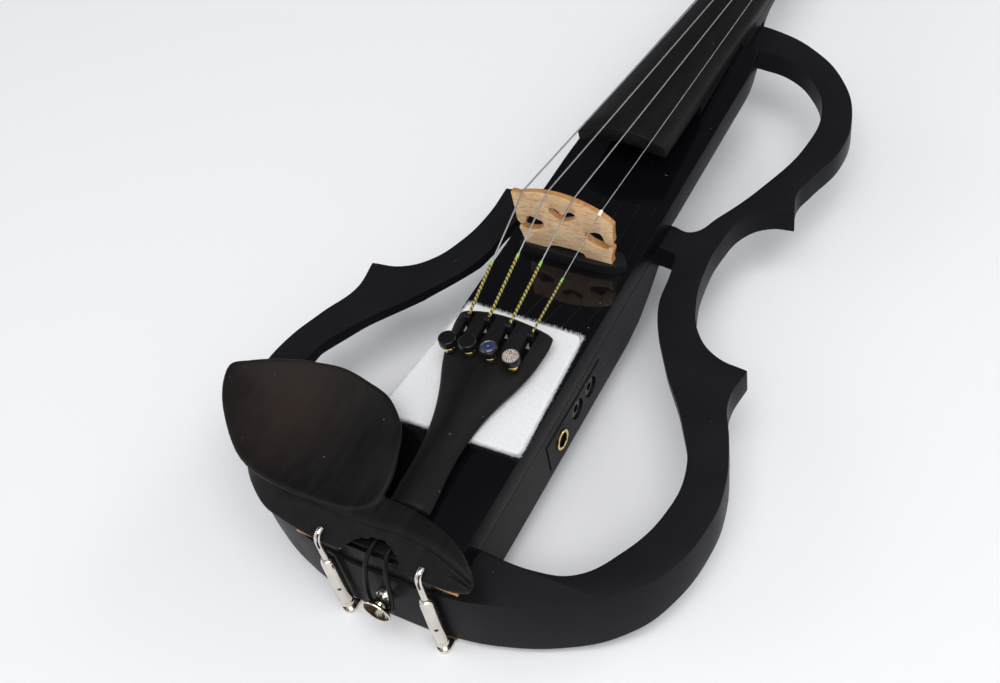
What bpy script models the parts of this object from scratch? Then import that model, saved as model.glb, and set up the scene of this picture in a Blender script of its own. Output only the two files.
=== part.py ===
"""Electric violin with a skeleton body, modelled as an assembly of separate pieces.

Run with: blender --background --python part.py

Every piece is drawn in violin coordinates, in millimetres: X towards the treble side, Y from the
tail end towards the scroll, Z away from the back. One empty holds them all. It tips the violin so
that it lies on its chin rest clamp and its scroll, and centres it over the origin.
"""

import math

import bmesh
import bpy
from mathutils import Matrix, Vector

# ---------------------------------------------------------------- driving dimensions, millimetres
MM = 0.001
GAP = 0.3                      # gap between pieces that touch
TILT = math.radians(1.6)       # the body's slope when it rests on clamp and scroll
CENTRE_Y = 291.8               # from the tail end to the middle of the bounding box
LIFT = 0.0

FRAME_TOP = 34.8               # top of the flat body frame
FRAME_THICK = 11.5             # its thickness beyond the lower bouts
TAIL_UNDERSIDE = 3.6
BEAM_HALF = 29.3               # half width of the top board and of the housing under it
BEAM_TOP = 46.2
BEAM_END = 318.0
BOX_BOTTOM = 11.5
BOX_START, BOX_END = 24.7, 187.6
COVER_TOP = BOX_BOTTOM + 2.0
PANEL_FACE = BEAM_HALF + 0.4   # outer face of the jack panel
CONTROL_X = -8.0
CONTROL_Y = {"volume": 64.0, "tone": 88.0}
PLATE_SCREWS = {"rear": (-22.8, 51.2), "front": (22.8, 100.8)}

BRIDGE_Y = 160.0
BRIDGE_X = 1.6                # it stands a little to the treble side
NUT_Y = 488.0
STRING_AT_BRIDGE = 83.9        # middle of the string plane over the bridge
NUT_TOP = 33.8
BOARD_START = 218.0
BOARD_RADIUS = 42.0
BOARD_THICK = 5.5
BOARD_HALF = (21.2, 12.0)      # half widths at the body end and at the nut
BOARD_EDGE = (64.0, 31.8)      # height of its upper edges at the same ends

STRING_X = (-15.6, -4.1, 7.4, 18.9)
NUT_X = (-8.1, -2.7, 2.7, 8.1)
TUNER_X = (-16.1, -6.6, 2.9, 12.4)
STRING_NAMES = ("g", "d", "a", "e")
STRING_RADIUS = (0.42, 0.42, 0.36, 0.3)

PEGS = {"g": (-1, 503.0), "e": (1, 515.0), "d": (-1, 529.0), "a": (1, 541.0)}
PEG_DROP = 9.0                 # from the pegbox rim down to a peg's axis
SCROLL_RADIUS = 19.3
SCROLL_Y = 574.0
SCROLL_Z = (SCROLL_RADIUS - SCROLL_Y * math.sin(TILT)) / math.cos(TILT)

TUNER_Y = 89.7                 # fine tuner screws
PIVOT_Y = 99.0                 # where their levers turn
LEVER_THICK = 1.6
BUTTON_Z = 22.2
CLAMP_X = 21.6
CLAMP_Y = -2.4


# ---------------------------------------------------------------- scene and materials
for old in list(bpy.data.objects):
    bpy.data.objects.remove(old, do_unlink=True)

parts = bpy.data.collections.new("electric_violin")
cutters = bpy.data.collections.new("cutters")
bpy.context.scene.collection.children.link(parts)
bpy.context.scene.collection.children.link(cutters)

datum = bpy.data.objects.new("violin_datum", None)
parts.objects.link(datum)
datum.rotation_euler = (TILT, 0, 0)
datum.location = (0, -CENTRE_Y * MM, LIFT * MM)


def material(name, colour, roughness, metallic=0.0):
    """A Principled material of one colour."""
    made = bpy.data.materials.new(name)
    made.use_nodes = True
    shader = made.node_tree.nodes["Principled BSDF"]
    shader.inputs["Base Color"].default_value = (*colour, 1)
    shader.inputs["Roughness"].default_value = roughness
    shader.inputs["Metallic"].default_value = metallic
    return made


SATIN_BLACK = ((0.012, 0.012, 0.014), 0.45)
GLOSS_BLACK = ((0.004, 0.004, 0.005), 0.05)
EBONY = ((0.014, 0.012, 0.011), 0.5)
MAPLE = ((0.62, 0.42, 0.24), 0.5)
NICKEL = ((0.72, 0.68, 0.62), 0.15, 1.0)
STEEL = ((0.6, 0.6, 0.62), 0.25, 1.0)
BLACK_METAL = ((0.02, 0.02, 0.022), 0.3, 0.6)
BLACK_PLASTIC = ((0.015, 0.015, 0.016), 0.4)
BRASS = ((0.75, 0.52, 0.16), 0.2, 1.0)
CORK = ((0.45, 0.22, 0.08), 0.8)
FOAM = ((0.88, 0.89, 0.9), 0.9)
CIRCUIT_GREEN = ((0.02, 0.16, 0.06), 0.4)


# ---------------------------------------------------------------- building blocks
def finish(name, mesh, look, origin=(0, 0, 0), home=None):
    """Make an object of a mesh drawn about origin, under the datum, with its own material."""
    made = bpy.data.objects.new(name, mesh)
    made.location = Vector(origin) * MM
    made.parent = datum
    (home or parts).objects.link(made)
    if look:
        mesh.materials.clear()
        mesh.materials.append(material(name, *look))
    if home is cutters:
        made.hide_render = True
        made.display_type = "WIRE"
    return made


def mesh_of(shape, name):
    """Turn a bmesh drawn in millimetres into a mesh in metres, its faces pointing out."""
    bmesh.ops.recalc_face_normals(shape, faces=shape.faces)
    bmesh.ops.scale(shape, vec=(MM, MM, MM), verts=shape.verts)
    mesh = bpy.data.meshes.new(name)
    shape.to_mesh(mesh)
    shape.free()
    return mesh


def smooth(made, angle=35):
    """Shade an object smooth up to a crease angle."""
    made.data.shade_smooth()
    made.data.set_sharp_from_angle(angle=math.radians(angle))
    return made


def bevel(made, width, segments=2, angle=40):
    """Round an object's sharp edges."""
    rounding = made.modifiers.new("rounding", "BEVEL")
    rounding.width = width * MM
    rounding.segments = segments
    rounding.limit_method = "ANGLE"
    rounding.angle_limit = math.radians(angle)
    return made


def boolean(made, tool, operation="DIFFERENCE"):
    """Cut, join or trim an object with a tool."""
    change = made.modifiers.new(tool.name, "BOOLEAN")
    change.operation = operation
    change.object = tool
    return made


def block(name, low, high, look, origin=None, home=None):
    """A box between two corners."""
    low, high = Vector(low), Vector(high)
    middle = (low + high) / 2
    base = Vector(origin) if origin else middle
    shape = bmesh.new()
    bmesh.ops.create_cube(shape, size=1)
    bmesh.ops.scale(shape, vec=high - low, verts=shape.verts)
    bmesh.ops.translate(shape, vec=middle - base, verts=shape.verts)
    return finish(name, mesh_of(shape, name), look, base, home)


AXIS_TURN = {"X": Matrix.Rotation(math.pi / 2, 3, "Y"), "Y": Matrix.Rotation(-math.pi / 2, 3, "X"),
             "Z": Matrix.Identity(3)}


def rod(name, centre, axis, radius, length, look, sides=20, end_radius=None, home=None, origin=None):
    """A cylinder or cone along an axis, centred on a point; end_radius is at the positive end."""
    base = Vector(origin) if origin else Vector(centre)
    shape = bmesh.new()
    bmesh.ops.create_cone(shape, cap_ends=True, segments=sides, radius1=radius,
                          radius2=radius if end_radius is None else end_radius, depth=length)
    bmesh.ops.rotate(shape, cent=(0, 0, 0), matrix=AXIS_TURN[axis], verts=shape.verts)
    bmesh.ops.translate(shape, vec=Vector(centre) - base, verts=shape.verts)
    return smooth(finish(name, mesh_of(shape, name), look, base, home))


def turned(name, profile, centre, axis, look, steps=20, home=None):
    """A turned shape: profile is (radius, height) from its top to its bottom, along an axis."""
    shape = bmesh.new()
    points = [shape.verts.new((radius, 0, height)) for radius, height in profile]
    for first, second in zip(points, points[1:]):
        shape.edges.new((first, second))
    bmesh.ops.scale(shape, vec=(MM, MM, MM), verts=shape.verts)
    mesh = bpy.data.meshes.new(name)
    shape.to_mesh(mesh)
    shape.free()
    made = finish(name, mesh, look, centre, home)
    made.rotation_euler = AXIS_TURN[axis].to_euler()
    screw = made.modifiers.new("turning", "SCREW")
    screw.steps = steps
    screw.render_steps = steps
    screw.use_merge_vertices = True
    screw.merge_threshold = 0.00005
    return made


def solid_of(drawn, name, look, origin, turn=None, home=None):
    """Replace a curve object by a welded mesh object, turned and moved to its origin."""
    bpy.context.view_layer.update()
    mesh = bpy.data.meshes.new_from_object(drawn.evaluated_get(bpy.context.evaluated_depsgraph_get()))
    bpy.data.objects.remove(drawn, do_unlink=True)
    shape = bmesh.new()
    shape.from_mesh(mesh)
    bmesh.ops.remove_doubles(shape, verts=shape.verts, dist=0.002 * MM)
    if turn:
        bmesh.ops.transform(shape, matrix=turn, verts=shape.verts)
    bmesh.ops.translate(shape, vec=-Vector(origin) * MM, verts=shape.verts)
    bmesh.ops.recalc_face_normals(shape, faces=shape.faces)
    shape.to_mesh(mesh)
    shape.free()
    return finish(name, mesh, look, origin, home)


# An outline drawn in (Y, Z) and extruded along X, or drawn in (Z, X) and extruded along Y.
PROFILE_ALONG = {"Z": None, "X": Matrix(((0, 0, 1, 0), (1, 0, 0, 0), (0, 1, 0, 0), (0, 0, 0, 1))),
                 "Y": Matrix(((0, 1, 0, 0), (0, 0, 1, 0), (1, 0, 0, 0), (0, 0, 0, 1)))}


def flat(name, loops, low, high, look, along="Z", origin=(0, 0, 0), curved=False, detail=5, home=None):
    """A flat outline extruded from low to high. In a curved loop a third value of 1 marks a corner."""
    drawing = bpy.data.curves.new(name, "CURVE")
    drawing.dimensions = "2D"
    drawing.fill_mode = "BOTH"
    drawing.extrude = (high - low) / 2 * MM
    drawing.resolution_u = detail
    for loop in loops:
        spline = drawing.splines.new("BEZIER" if curved else "POLY")
        if curved:
            spline.bezier_points.add(len(loop) - 1)
            for point, (a, b, *corner) in zip(spline.bezier_points, loop):
                point.co = (a * MM, b * MM, 0)
                kind = "VECTOR" if corner and corner[0] == 1 else "AUTO"
                point.handle_left_type = kind
                point.handle_right_type = kind
        else:
            spline.points.add(len(loop) - 1)
            for point, (a, b, *_) in zip(spline.points, loop):
                point.co = (a * MM, b * MM, 0, 1)
        spline.use_cyclic_u = True
    drawn = bpy.data.objects.new(name + "_outline", drawing)
    parts.objects.link(drawn)
    lift = Matrix.Translation((0, 0, (low + high) / 2 * MM))
    turn = PROFILE_ALONG[along]
    return solid_of(drawn, name, look, origin, turn @ lift if turn else lift, home)


def tube(name, points, radius, look, sides_level=1, home=None):
    """A round wire through points, as a mesh."""
    drawing = bpy.data.curves.new(name, "CURVE")
    drawing.dimensions = "3D"
    drawing.bevel_depth = radius * MM
    drawing.bevel_resolution = sides_level
    drawing.use_fill_caps = True
    spline = drawing.splines.new("POLY")
    spline.points.add(len(points) - 1)
    for point, place in zip(spline.points, points):
        point.co = (*(Vector(place) * MM), 1)
    drawn = bpy.data.objects.new(name + "_path", drawing)
    parts.objects.link(drawn)
    return smooth(solid_of(drawn, name, look, (0, 0, 0), home=home), 50)


def loft(name, sections, look, origin=(0, 0, 0), home=None):
    """A closed body through sections of equal point count."""
    shape = bmesh.new()
    rings = [[shape.verts.new(Vector(point) - Vector(origin)) for point in section]
             for section in sections]
    count = len(rings[0])
    for near, far in zip(rings, rings[1:]):
        for i in range(count):
            j = (i + 1) % count
            shape.faces.new((near[i], near[j], far[j], far[i]))
    shape.faces.new(rings[0])
    shape.faces.new(rings[-1])
    return finish(name, mesh_of(shape, name), look, origin, home)


def blend_between(value, low, high):
    """0 at low, 1 at high, with a smooth ease between."""
    t = min(1, max(0, (value - low) / (high - low)))
    return t * t * (3 - 2 * t)


def along(y, start, end, values):
    """Straight line between two values over a stretch of Y."""
    return values[0] + (values[1] - values[0]) * (y - start) / (end - start)


def read(table, x):
    """Read a table of (x, value, ...) rows at x, straight between rows."""
    for near, far in zip(table, table[1:]):
        if x <= far[0]:
            t = (x - near[0]) / (far[0] - near[0])
            return [a + (b - a) * t for a, b in zip(near[1:], far[1:])]
    return list(table[-1][1:])


# ---------------------------------------------------------------- body frame
LOWER_OUTER = [(26.3, 1.9, 1), (45, 6.2), (63, 13.6), (83, 26.5), (95, 41.5), (101.7, 66), (100.6, 84),
               (94.5, 103), (87.4, 121), (88.8, 137, 1), (75, 139.6), (64.2, 148), (56.5, 163.7),
               (53, 182)]
LOWER_INNER = [(30.3, 188.2, 1), (37, 186.2), (39.4, 178), (43, 155), (57.3, 128.8), (75, 104),
               (84.6, 85), (85, 64), (77, 42.5), (66, 28.6), (53, 24.4), (26.3, 24.4, 1)]
UPPER_OUTER = [(53, 199), (57.5, 217), (66, 225), (76.3, 227.2, 1), (73.4, 239), (76, 250), (82, 272),
               (79.6, 296), (66.5, 321), (47, 338.5), (26, 348), (0, 351.6), (-16.5, 350.6, 1)]
UPPER_INNER = [(-16.5, 331, 1), (22, 331, 1), (38, 327.5), (54, 315.5), (65.5, 295), (66.5, 270),
               (57.5, 238), (46.5, 214), (38.6, 201.4), (30.3, 202.4, 1)]
CROSSBAR = [(0.15, 202.4, 1), (0.15, 188.2, 1)]


def frame_arm(name, outline, side):
    """An arm cut from the flat board, deep at the tail and along its outer edge, thin at its inner edge."""
    arm = flat(name, [outline], -10, FRAME_TOP, SATIN_BLACK, curved=True, detail=4)
    boolean(arm, clear_below)
    boolean(arm, inner_slope(side))
    return smooth(arm, 30)


def inner_slope(side):
    """What the slope under an arm's inner edge takes away: a prism that follows the edge."""
    sections = []
    for x, y, share in SLOPE_ROUTE:
        nearby = [(a, b) for a, b, *_ in SLOPE_ROUTE]
        i = nearby.index((x, y))
        before, after = nearby[max(i - 1, 0)], nearby[min(i + 1, len(nearby) - 1)]
        run = Vector((after[0] - before[0], after[1] - before[1])).normalized()
        low = read(UNDERSIDE, y)[0]
        edge = low - 1 + (FRAME_TOP - INNER_EDGE - low + 1) * share
        fall = (edge - low + 1) / SLOPE_WIDTH
        section = []
        for inside, z in ((-2, edge + 2 * fall), (24, edge - 24 * fall), (24, -30), (-2, -30)):
            section.append((side * (x + run.y * inside), y - run.x * inside, z))
        sections.append(section)
    return loft(f"inner_slope_{side + 1}", sections, None, home=cutters)


thin = FRAME_TOP - FRAME_THICK
UNDERSIDE = [(-20, TAIL_UNDERSIDE), (16, TAIL_UNDERSIDE), (50, 12.5), (100, 18.8), (146, thin), (400, thin)]
INNER_EDGE = 5.0               # thickness of the lower arms along their inner edge
SLOPE_WIDTH = 13.0
# X and Y along the inner edge, and how much of the slope is there
SLOPE_ROUTE = [(53, 24.4, 0), (66, 28.6, 0.35), (77, 42.5, 0.7), (85, 64, 1), (84.6, 85, 1), (75, 104, 1),
               (57.3, 128.8, 1), (43, 155, 1), (39.4, 178, 1), (38.6, 184, 0)]
clear_below = flat("frame_underside", [UNDERSIDE + [(400, -40), (-20, -40)]], -130, 130, None, along="X",
                   home=cutters)
frame_arm("treble_frame", LOWER_OUTER + UPPER_OUTER + UPPER_INNER + CROSSBAR + LOWER_INNER, 1)
bass_end = [(53.2, 200.6, 1), (30.3, 202.4, 1)]
frame_arm("bass_frame", [(-x, y, *corner) for x, y, *corner
                         in LOWER_OUTER + bass_end + CROSSBAR + LOWER_INNER], -1)

tail_block = flat("tail_block", [[(-26, 1.9, 1), (0, 0.4), (26, 1.9, 1), (26, 24.4, 1), (-26, 24.4, 1)]],
                  TAIL_UNDERSIDE, FRAME_TOP, SATIN_BLACK, curved=True)
boolean(tail_block, rod("button_hole", (0, 10, BUTTON_Z), "Y", 4.1, 24, None, home=cutters))


# ---------------------------------------------------------------- top board, housing and controls
def beam_half(y):
    """Half width of the top board, which narrows to the neck."""
    return BEAM_HALF - 6.0 * blend_between(y, 292, BEAM_END + 20)


narrowing = [(beam_half(y), y) for y in (290, 300, 310, BEAM_END)]
bass_taper = [(-BEAM_HALF + 7.5 * blend_between(y, 215, 330), y)
              for y in (BEAM_END, 290, 270, 250, 232, 215)]
tail_curve = [(-BEAM_HALF, 3.4), (-18, 1.6), (18, 1.6), (BEAM_HALF, 3.4)]
top_board = flat("top_board", [tail_curve + narrowing + bass_taper],
                 FRAME_TOP + GAP, BEAM_TOP, GLOSS_BLACK)
bevel(top_board, 0.8, 2, 60)

housing = flat("electronics_housing",
               [[(BOX_START, BOX_BOTTOM), (150, BOX_BOTTOM), (163, 13.6), (176, 19.2), (BOX_END, 25.8),
                 (BOX_END, FRAME_TOP), (BOX_START, FRAME_TOP)]],
               -BEAM_HALF, BEAM_HALF, SATIN_BLACK, along="X")
for cutter_name, low, high in (
        ("controls_cavity", (-20.5, 53.5, 0), (20.5, 98.5, 31.5)),
        ("controls_rebate", (-25.3, 48.7, 0), (25.3, 103.3, COVER_TOP + GAP)),
        ("jack_pocket", (12, 94, COVER_TOP + 1.8), (24, 126, 31.5)),
        ("jack_window", (18, 79.5, 17.0), (40, 122.5, 28.6)),
        ("jack_rebate", (PANEL_FACE - 2.4, 76.4, 15.0), (40, 125.2, 30.4)),
        ("battery_cavity", (-22, 107, 14), (6, 157.5, 33.2)),
        ("door_slot", (-23.7, 106.7, 13), (7.7, 200, 15.2)),
        ("door_opening", (-21, 107, 0), (5, 200, 14))):
    boolean(housing, block(cutter_name, low, high, None, home=cutters))
for end, (screw_x, screw_y) in PLATE_SCREWS.items():
    boolean(housing, rod(f"housing_screw_hole_{end}", (screw_x, screw_y, 14), "Z", 1.4, 10, None, 12,
                         home=cutters))

plate = block("control_plate", (-25, 49, BOX_BOTTOM), (25, 103, COVER_TOP), BLACK_PLASTIC)
for control, control_y in CONTROL_Y.items():
    boolean(plate, rod(f"{control}_hole", (CONTROL_X, control_y, 12), "Z", 3.6, 10, None, home=cutters))
boolean(plate, block("switch_slot", (11.2, 58.4, 5), (14.8, 65.6, 20), None, home=cutters))
for end, (screw_x, screw_y) in PLATE_SCREWS.items():
    boolean(plate, rod(f"plate_screw_hole_{end}", (screw_x, screw_y, 12), "Z", 1.4, 10, None, 12,
                       home=cutters))
    turned(f"plate_screw_{end}", [(0, 18.5), (1.1, 18.5), (1.1, 11.2), (2.2, 11.2), (2, 10.2), (0, 10)],
           (screw_x, screw_y, 0), "Z", BLACK_METAL, 12)

board = block("preamp_board", (-19.5, 54.5, 28.7), (19.5, 97.5, 30.3), CIRCUIT_GREEN)
for control, control_y in CONTROL_Y.items():
    turned(f"{control}_knob", [(0, 9.9), (3.3, 9.9), (3.3, -1.2), (7, -1.2), (7.2, -4.2), (6.6, -5.0),
                               (0, -5.0)], (CONTROL_X, control_y, 12.4), "Z", BLACK_PLASTIC, 24)
    boolean(board, rod(f"{control}_pot", (CONTROL_X, control_y, 25.8), "Z", 8, 6.2, None, 24,
                       home=cutters), "UNION")
boolean(board, block("switch_body", (8, 55.5, 18.2), (18, 70, 29), None, home=cutters), "UNION")
block("power_switch", (11.5, 58.7, 9.3), (14.5, 62.2, 17.8), BLACK_PLASTIC)

block("battery", (-21.2, 108.0, 15.5), (5.2, 156.5, 32.9), ((0.10, 0.10, 0.11), 0.35))
door = block("battery_door", (-23.4, 107, 13.3), (7.4, 160.5, 14.9), BLACK_PLASTIC)
boolean(door, block("door_grip", (-16, 112, 11.6), (0, 128, 13.6), None, home=cutters), "UNION")


# ---------------------------------------------------------------- jack panel
JACKS = {"output": (88.0, 22.0, 4.9), "headphone": (102.7, 24.0, 4.7), "aux": (115.0, 24.0, 4.7)}
panel = block("jack_panel", (PANEL_FACE - 2.1, 76.8, 15.4), (PANEL_FACE, 124.8, 30.0), SATIN_BLACK)
for jack, (jack_y, jack_z, hole) in JACKS.items():
    boolean(panel, rod(f"{jack}_panel_hole", (28, jack_y, jack_z), "X", hole, 12, None, 24,
                       home=cutters))
turned("output_jack", [(0, -15), (3.2, -15), (3.2, 0.6), (4.5, 0.6), (4.5, -22), (0, -22)],
       (PANEL_FACE, *JACKS["output"][:2]), "X", BRASS, 28)
for jack in ("headphone", "aux"):
    turned(f"{jack}_jack", [(0, -12), (1.8, -12), (1.8, -0.9), (4.3, -0.9), (4.3, -15), (0, -15)],
           (PANEL_FACE, *JACKS[jack][:2]), "X", BLACK_METAL, 20)


# ---------------------------------------------------------------- fingerboard, neck, pegbox, scroll
def board_half(y):
    """Half width of the fingerboard."""
    return along(y, BOARD_START, NUT_Y, BOARD_HALF)


def board_edge(y):
    """Height of the fingerboard's upper edge."""
    return along(y, BOARD_START, NUT_Y, BOARD_EDGE)


def board_section(y, hollow):
    """One cross-section of the fingerboard: arched above, flat or hollow below."""
    half = board_half(y)
    edge = board_edge(y)
    steps = [i / 5 - 1 for i in range(11)]
    crown = math.sqrt(BOARD_RADIUS ** 2 - half ** 2)
    upper = [(half * t, y, edge + math.sqrt(BOARD_RADIUS ** 2 - (half * t) ** 2) - crown) for t in steps]
    lower = [((half - 0.4) * t, y, edge - BOARD_THICK + hollow * (1 - t * t)) for t in reversed(steps)]
    return upper + lower


fingerboard = loft("fingerboard", [board_section(y, hollow) for y, hollow in
                                   ((BOARD_START, 3.6), (259.5, 3.6), (261.5, 0), (360, 0), (NUT_Y, 0))],
                   EBONY)
smooth(fingerboard, 30)

# Y, lower face, depth of the round underside (0 square, 1 round)
NECK = [(262.0, BEAM_TOP + GAP, 0.15), (318.35, BEAM_TOP + GAP, 0.15), (318.4, FRAME_TOP + GAP, 0.15),
        (352.0, FRAME_TOP + GAP, 0.15), (352.1, 24.6, 0.5), (357, 26.4, 0.7), (366, 29.6, 0.9),
        (380, 28.4, 1), (400, 25.7, 1), (440, 20.6, 1), (476, 16.1, 1), (486, 13.6, 0.8),
        (494.0, 10.2, 0.5)]


def neck_section(y, low, roundness):
    """One cross-section of the neck: a flat top and an underside from square to round."""
    half = board_half(min(y, NUT_Y)) - 0.3
    top = board_edge(min(y, NUT_Y)) - BOARD_THICK - GAP
    power = 0.18 + 0.62 * roundness
    points = [(half, y, top)]
    for i in range(1, 12):
        turn = math.pi * i / 12
        across = math.copysign(abs(math.cos(turn)) ** power, math.cos(turn))
        points.append((half * across, y, top - (top - low) * math.sin(turn) ** power))
    return points + [(-half, y, top)]


PEGBOX = [(490.5, 25.2, 11.2, 12.0), (494.3, 25.4, 9.4, 12.0), (494.5, 29.4, 9.3, 12.0),
          (503, 27.3, 5.8, 11.9), (515, 24.3, 1.2, 11.0),
          (529, 21.0, -2.8, 9.9), (541, 18.4, -5.4, 8.8), (552, 16.4, -7.6, 7.6), (566, 14.0, -9.0, 6.4)]


def pegbox_section(y, high, low, half):
    """One cross-section of the pegbox, its back edges rounded."""
    return [(half, y, high), (half, y, low + 4), (half * 0.6, y, low), (-half * 0.6, y, low),
            (-half, y, low + 4), (-half, y, high)]


neck = smooth(loft("neck_and_scroll", [neck_section(*row) for row in NECK], SATIN_BLACK), 40)
pegbox = loft("pegbox", [pegbox_section(*row) for row in PEGBOX], None, home=cutters)
boolean(neck, pegbox, "UNION")
volute = [(0, 20.6), (4.4, 20.6), (5.2, 19.4), (6.4, 15.6), (10.6, 13.6), (12, 10.6), (16.8, 8.8),
          (SCROLL_RADIUS, 6.2)]
volute += [(radius, -height) for radius, height in reversed(volute)]
boolean(neck, turned("scroll", volute, (0, SCROLL_Y, SCROLL_Z), "X", None, 32, cutters), "UNION")
inside = [(y, half - 4.3, low + 6) for y, high, low, half in PEGBOX]
cavity_rows = [(494.4, 7.7, 19.0)] + inside[3:7] + [(551, 4.2, 2.0)]
boolean(neck, loft("pegbox_cavity", [[(half, y, 60), (half, y, low), (-half, y, low), (-half, y, 60)]
                                     for y, half, low in cavity_rows], None, home=cutters))


def peg_axis(y):
    """Height of a peg's axis."""
    return read(PEGBOX, y)[0] - PEG_DROP


for string, (side, peg_y) in PEGS.items():
    boolean(neck, rod(f"peg_hole_{string}", (0, peg_y, peg_axis(peg_y)), "X", 3.9, 40, None, 20,
                      home=cutters))
    wall = read(PEGBOX, peg_y)[2]
    profile = [(0, wall + 12), (2.4, wall + 11.6), (3.4, wall + 9), (3.2, wall + 5.5), (5.2, wall + 4),
               (5.2, wall + 2.2), (3.6, wall + 0.8), (3.2, -wall - 0.6), (2.6, -wall - 1.6), (0, -wall - 1.8)]
    peg = turned(f"peg_{string}", profile, (0, peg_y, peg_axis(peg_y)), "X", EBONY, 20)
    if side < 0:
        peg.rotation_euler = (AXIS_TURN["X"] @ Matrix.Rotation(math.pi, 3, "Y")).to_euler()
    thumb = [(0, wall + 10), (6, wall + 12), (10, wall + 17.5), (8.6, wall + 24), (3, wall + 27),
             (-3, wall + 27), (-8.6, wall + 24), (-10, wall + 17.5), (-6, wall + 12)]
    lift = peg_axis(peg_y)
    head = flat(f"peg_head_{string}", [[(lift + z, side * x) for z, x in thumb]],
                peg_y - 3.1, peg_y + 3.1, None, along="Y", curved=True, detail=2, home=cutters)
    boolean(peg, head, "UNION")

nut_low = board_edge(NUT_Y) - BOARD_THICK
nut = block("nut", (-12, NUT_Y + GAP, nut_low), (12, 494.0, NUT_TOP), EBONY)
bevel(nut, 1.2, 3, 60)


# ---------------------------------------------------------------- bridge, pickup and strings
def string_height(x):
    """Height of the strings over the bridge, x from its middle: an arch, higher on the bass side."""
    return STRING_AT_BRIDGE + math.sqrt(BOARD_RADIUS ** 2 - x ** 2) - BOARD_RADIUS - x / 17


foot = 51.3
crest = [(79.4, -22.9), (79.7, -20.5)] + [(string_height(x) - 0.8, x) for x in (-15, -8, 0, 8, 15, 19.5)]
bridge_edge = crest + [(74.2, 22.9), (65.0, 22.0), (58.6, 21.6), (54.4, 20.6), (foot, 20.6), (foot, 8.4),
                       (53.6, 8.2), (53.9, 0), (53.6, -8.6), (foot, -8.8), (foot, -20.6), (54.4, -20.6),
                       (58.6, -21.6), (65.0, -22.0)]
heart = [(69.4, 0), (70.6, -3.6), (73.2, -6), (75.2, -5.2), (74.6, -2.6), (72.6, 0), (74.6, 2.6), (75.2, 5.2),
         (73.2, 6), (70.6, 3.6)]
bridge = flat("bridge", [[(z, x + BRIDGE_X) for z, x in loop] for loop in (bridge_edge, heart)],
              BRIDGE_Y - 1.8, BRIDGE_Y + 1.8, MAPLE, along="Y")
for side in (-1, 1):
    kidney = [(60.2, 16.5), (61.6, 11.5), (64.2, 9.8), (66.4, 11), (67.4, 15), (66.2, 17.8), (63.6, 19.0),
              (62.6, 20.0), (62.6, 26), (61.6, 26), (61.4, 20), (60.6, 18.6)]
    boolean(bridge, flat(f"bridge_eye_{side + 1}", [[(z, side * x + BRIDGE_X) for z, x in kidney]],
                         BRIDGE_Y - 5, BRIDGE_Y + 5, None, along="Y", home=cutters))

flat("pickup_bar", [[(-21, 156.8), (20.5, 156.8), (25, 158.2), (26.6, 161.4), (25, 164.6), (20.5, 166),
                     (-21, 166)]], BEAM_TOP + GAP, foot - GAP, BLACK_PLASTIC)

for i, string in enumerate(STRING_NAMES):
    radius = STRING_RADIUS[i]
    drop = 0 if string in "da" else -1.8
    over_bridge = string_height(STRING_X[i] - BRIDGE_X) - 0.8 + 0.35 + radius
    over_nut = NUT_TOP + GAP + radius
    side, peg_y = PEGS[string]
    hook = (TUNER_X[i], 107.5, 62.2 + drop)
    tube(f"string_{string}",
         [hook, (STRING_X[i], BRIDGE_Y - 1.6, over_bridge), (STRING_X[i], BRIDGE_Y + 1.6, over_bridge),
          (NUT_X[i], NUT_Y + 0.6, over_nut), (NUT_X[i], 493.8, over_nut),
          (NUT_X[i] * 0.4, peg_y + 1.5, peg_axis(peg_y) + 3.4 + GAP + radius)], radius, STEEL)


# ---------------------------------------------------------------- tailpiece and fine tuners
# Y, half width, height of the edges, rise of the middle
TAILPIECE = [(22.4, 8.6, 49.6, 2.6), (30, 8.5, 50.2, 2.9), (40, 8.0, 50.9, 3.0), (50, 8.2, 51.6, 3.1),
             (60, 9.4, 52.3, 3.3), (68, 11.2, 52.9, 3.6), (76, 13.8, 53.5, 3.9), (84, 17.0, 54.1, 4.2),
             (92.6, 19.6, 54.7, 4.4), (100, 20.8, 55.2, 4.5), (107, 21.4, 55.7, 4.5), (111, 20.9, 55.9, 4.4)]


def tailpiece_middle(y):
    """X of the tailpiece's middle line, which runs a little askew."""
    return along(y, 22.4, 111, (2.6, -1.8))


def tailpiece_top(x, y):
    """Height of the tailpiece's arched face."""
    half, edge, rise = read(TAILPIECE, y)
    return edge + rise * (1 - ((x - tailpiece_middle(y)) / half) ** 2)


def tailpiece_section(y, half, edge, rise):
    """One cross-section of the tailpiece."""
    steps = [i / 4 - 1 for i in range(9)]
    middle = tailpiece_middle(y)
    upper = [(middle + half * t, y, edge + rise * (1 - t * t)) for t in steps]
    lower = [(middle + (half - 0.5) * t, y, edge - 3 + (rise - 0.2) * (1 - t * t)) for t in reversed(steps)]
    return upper + lower


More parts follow.
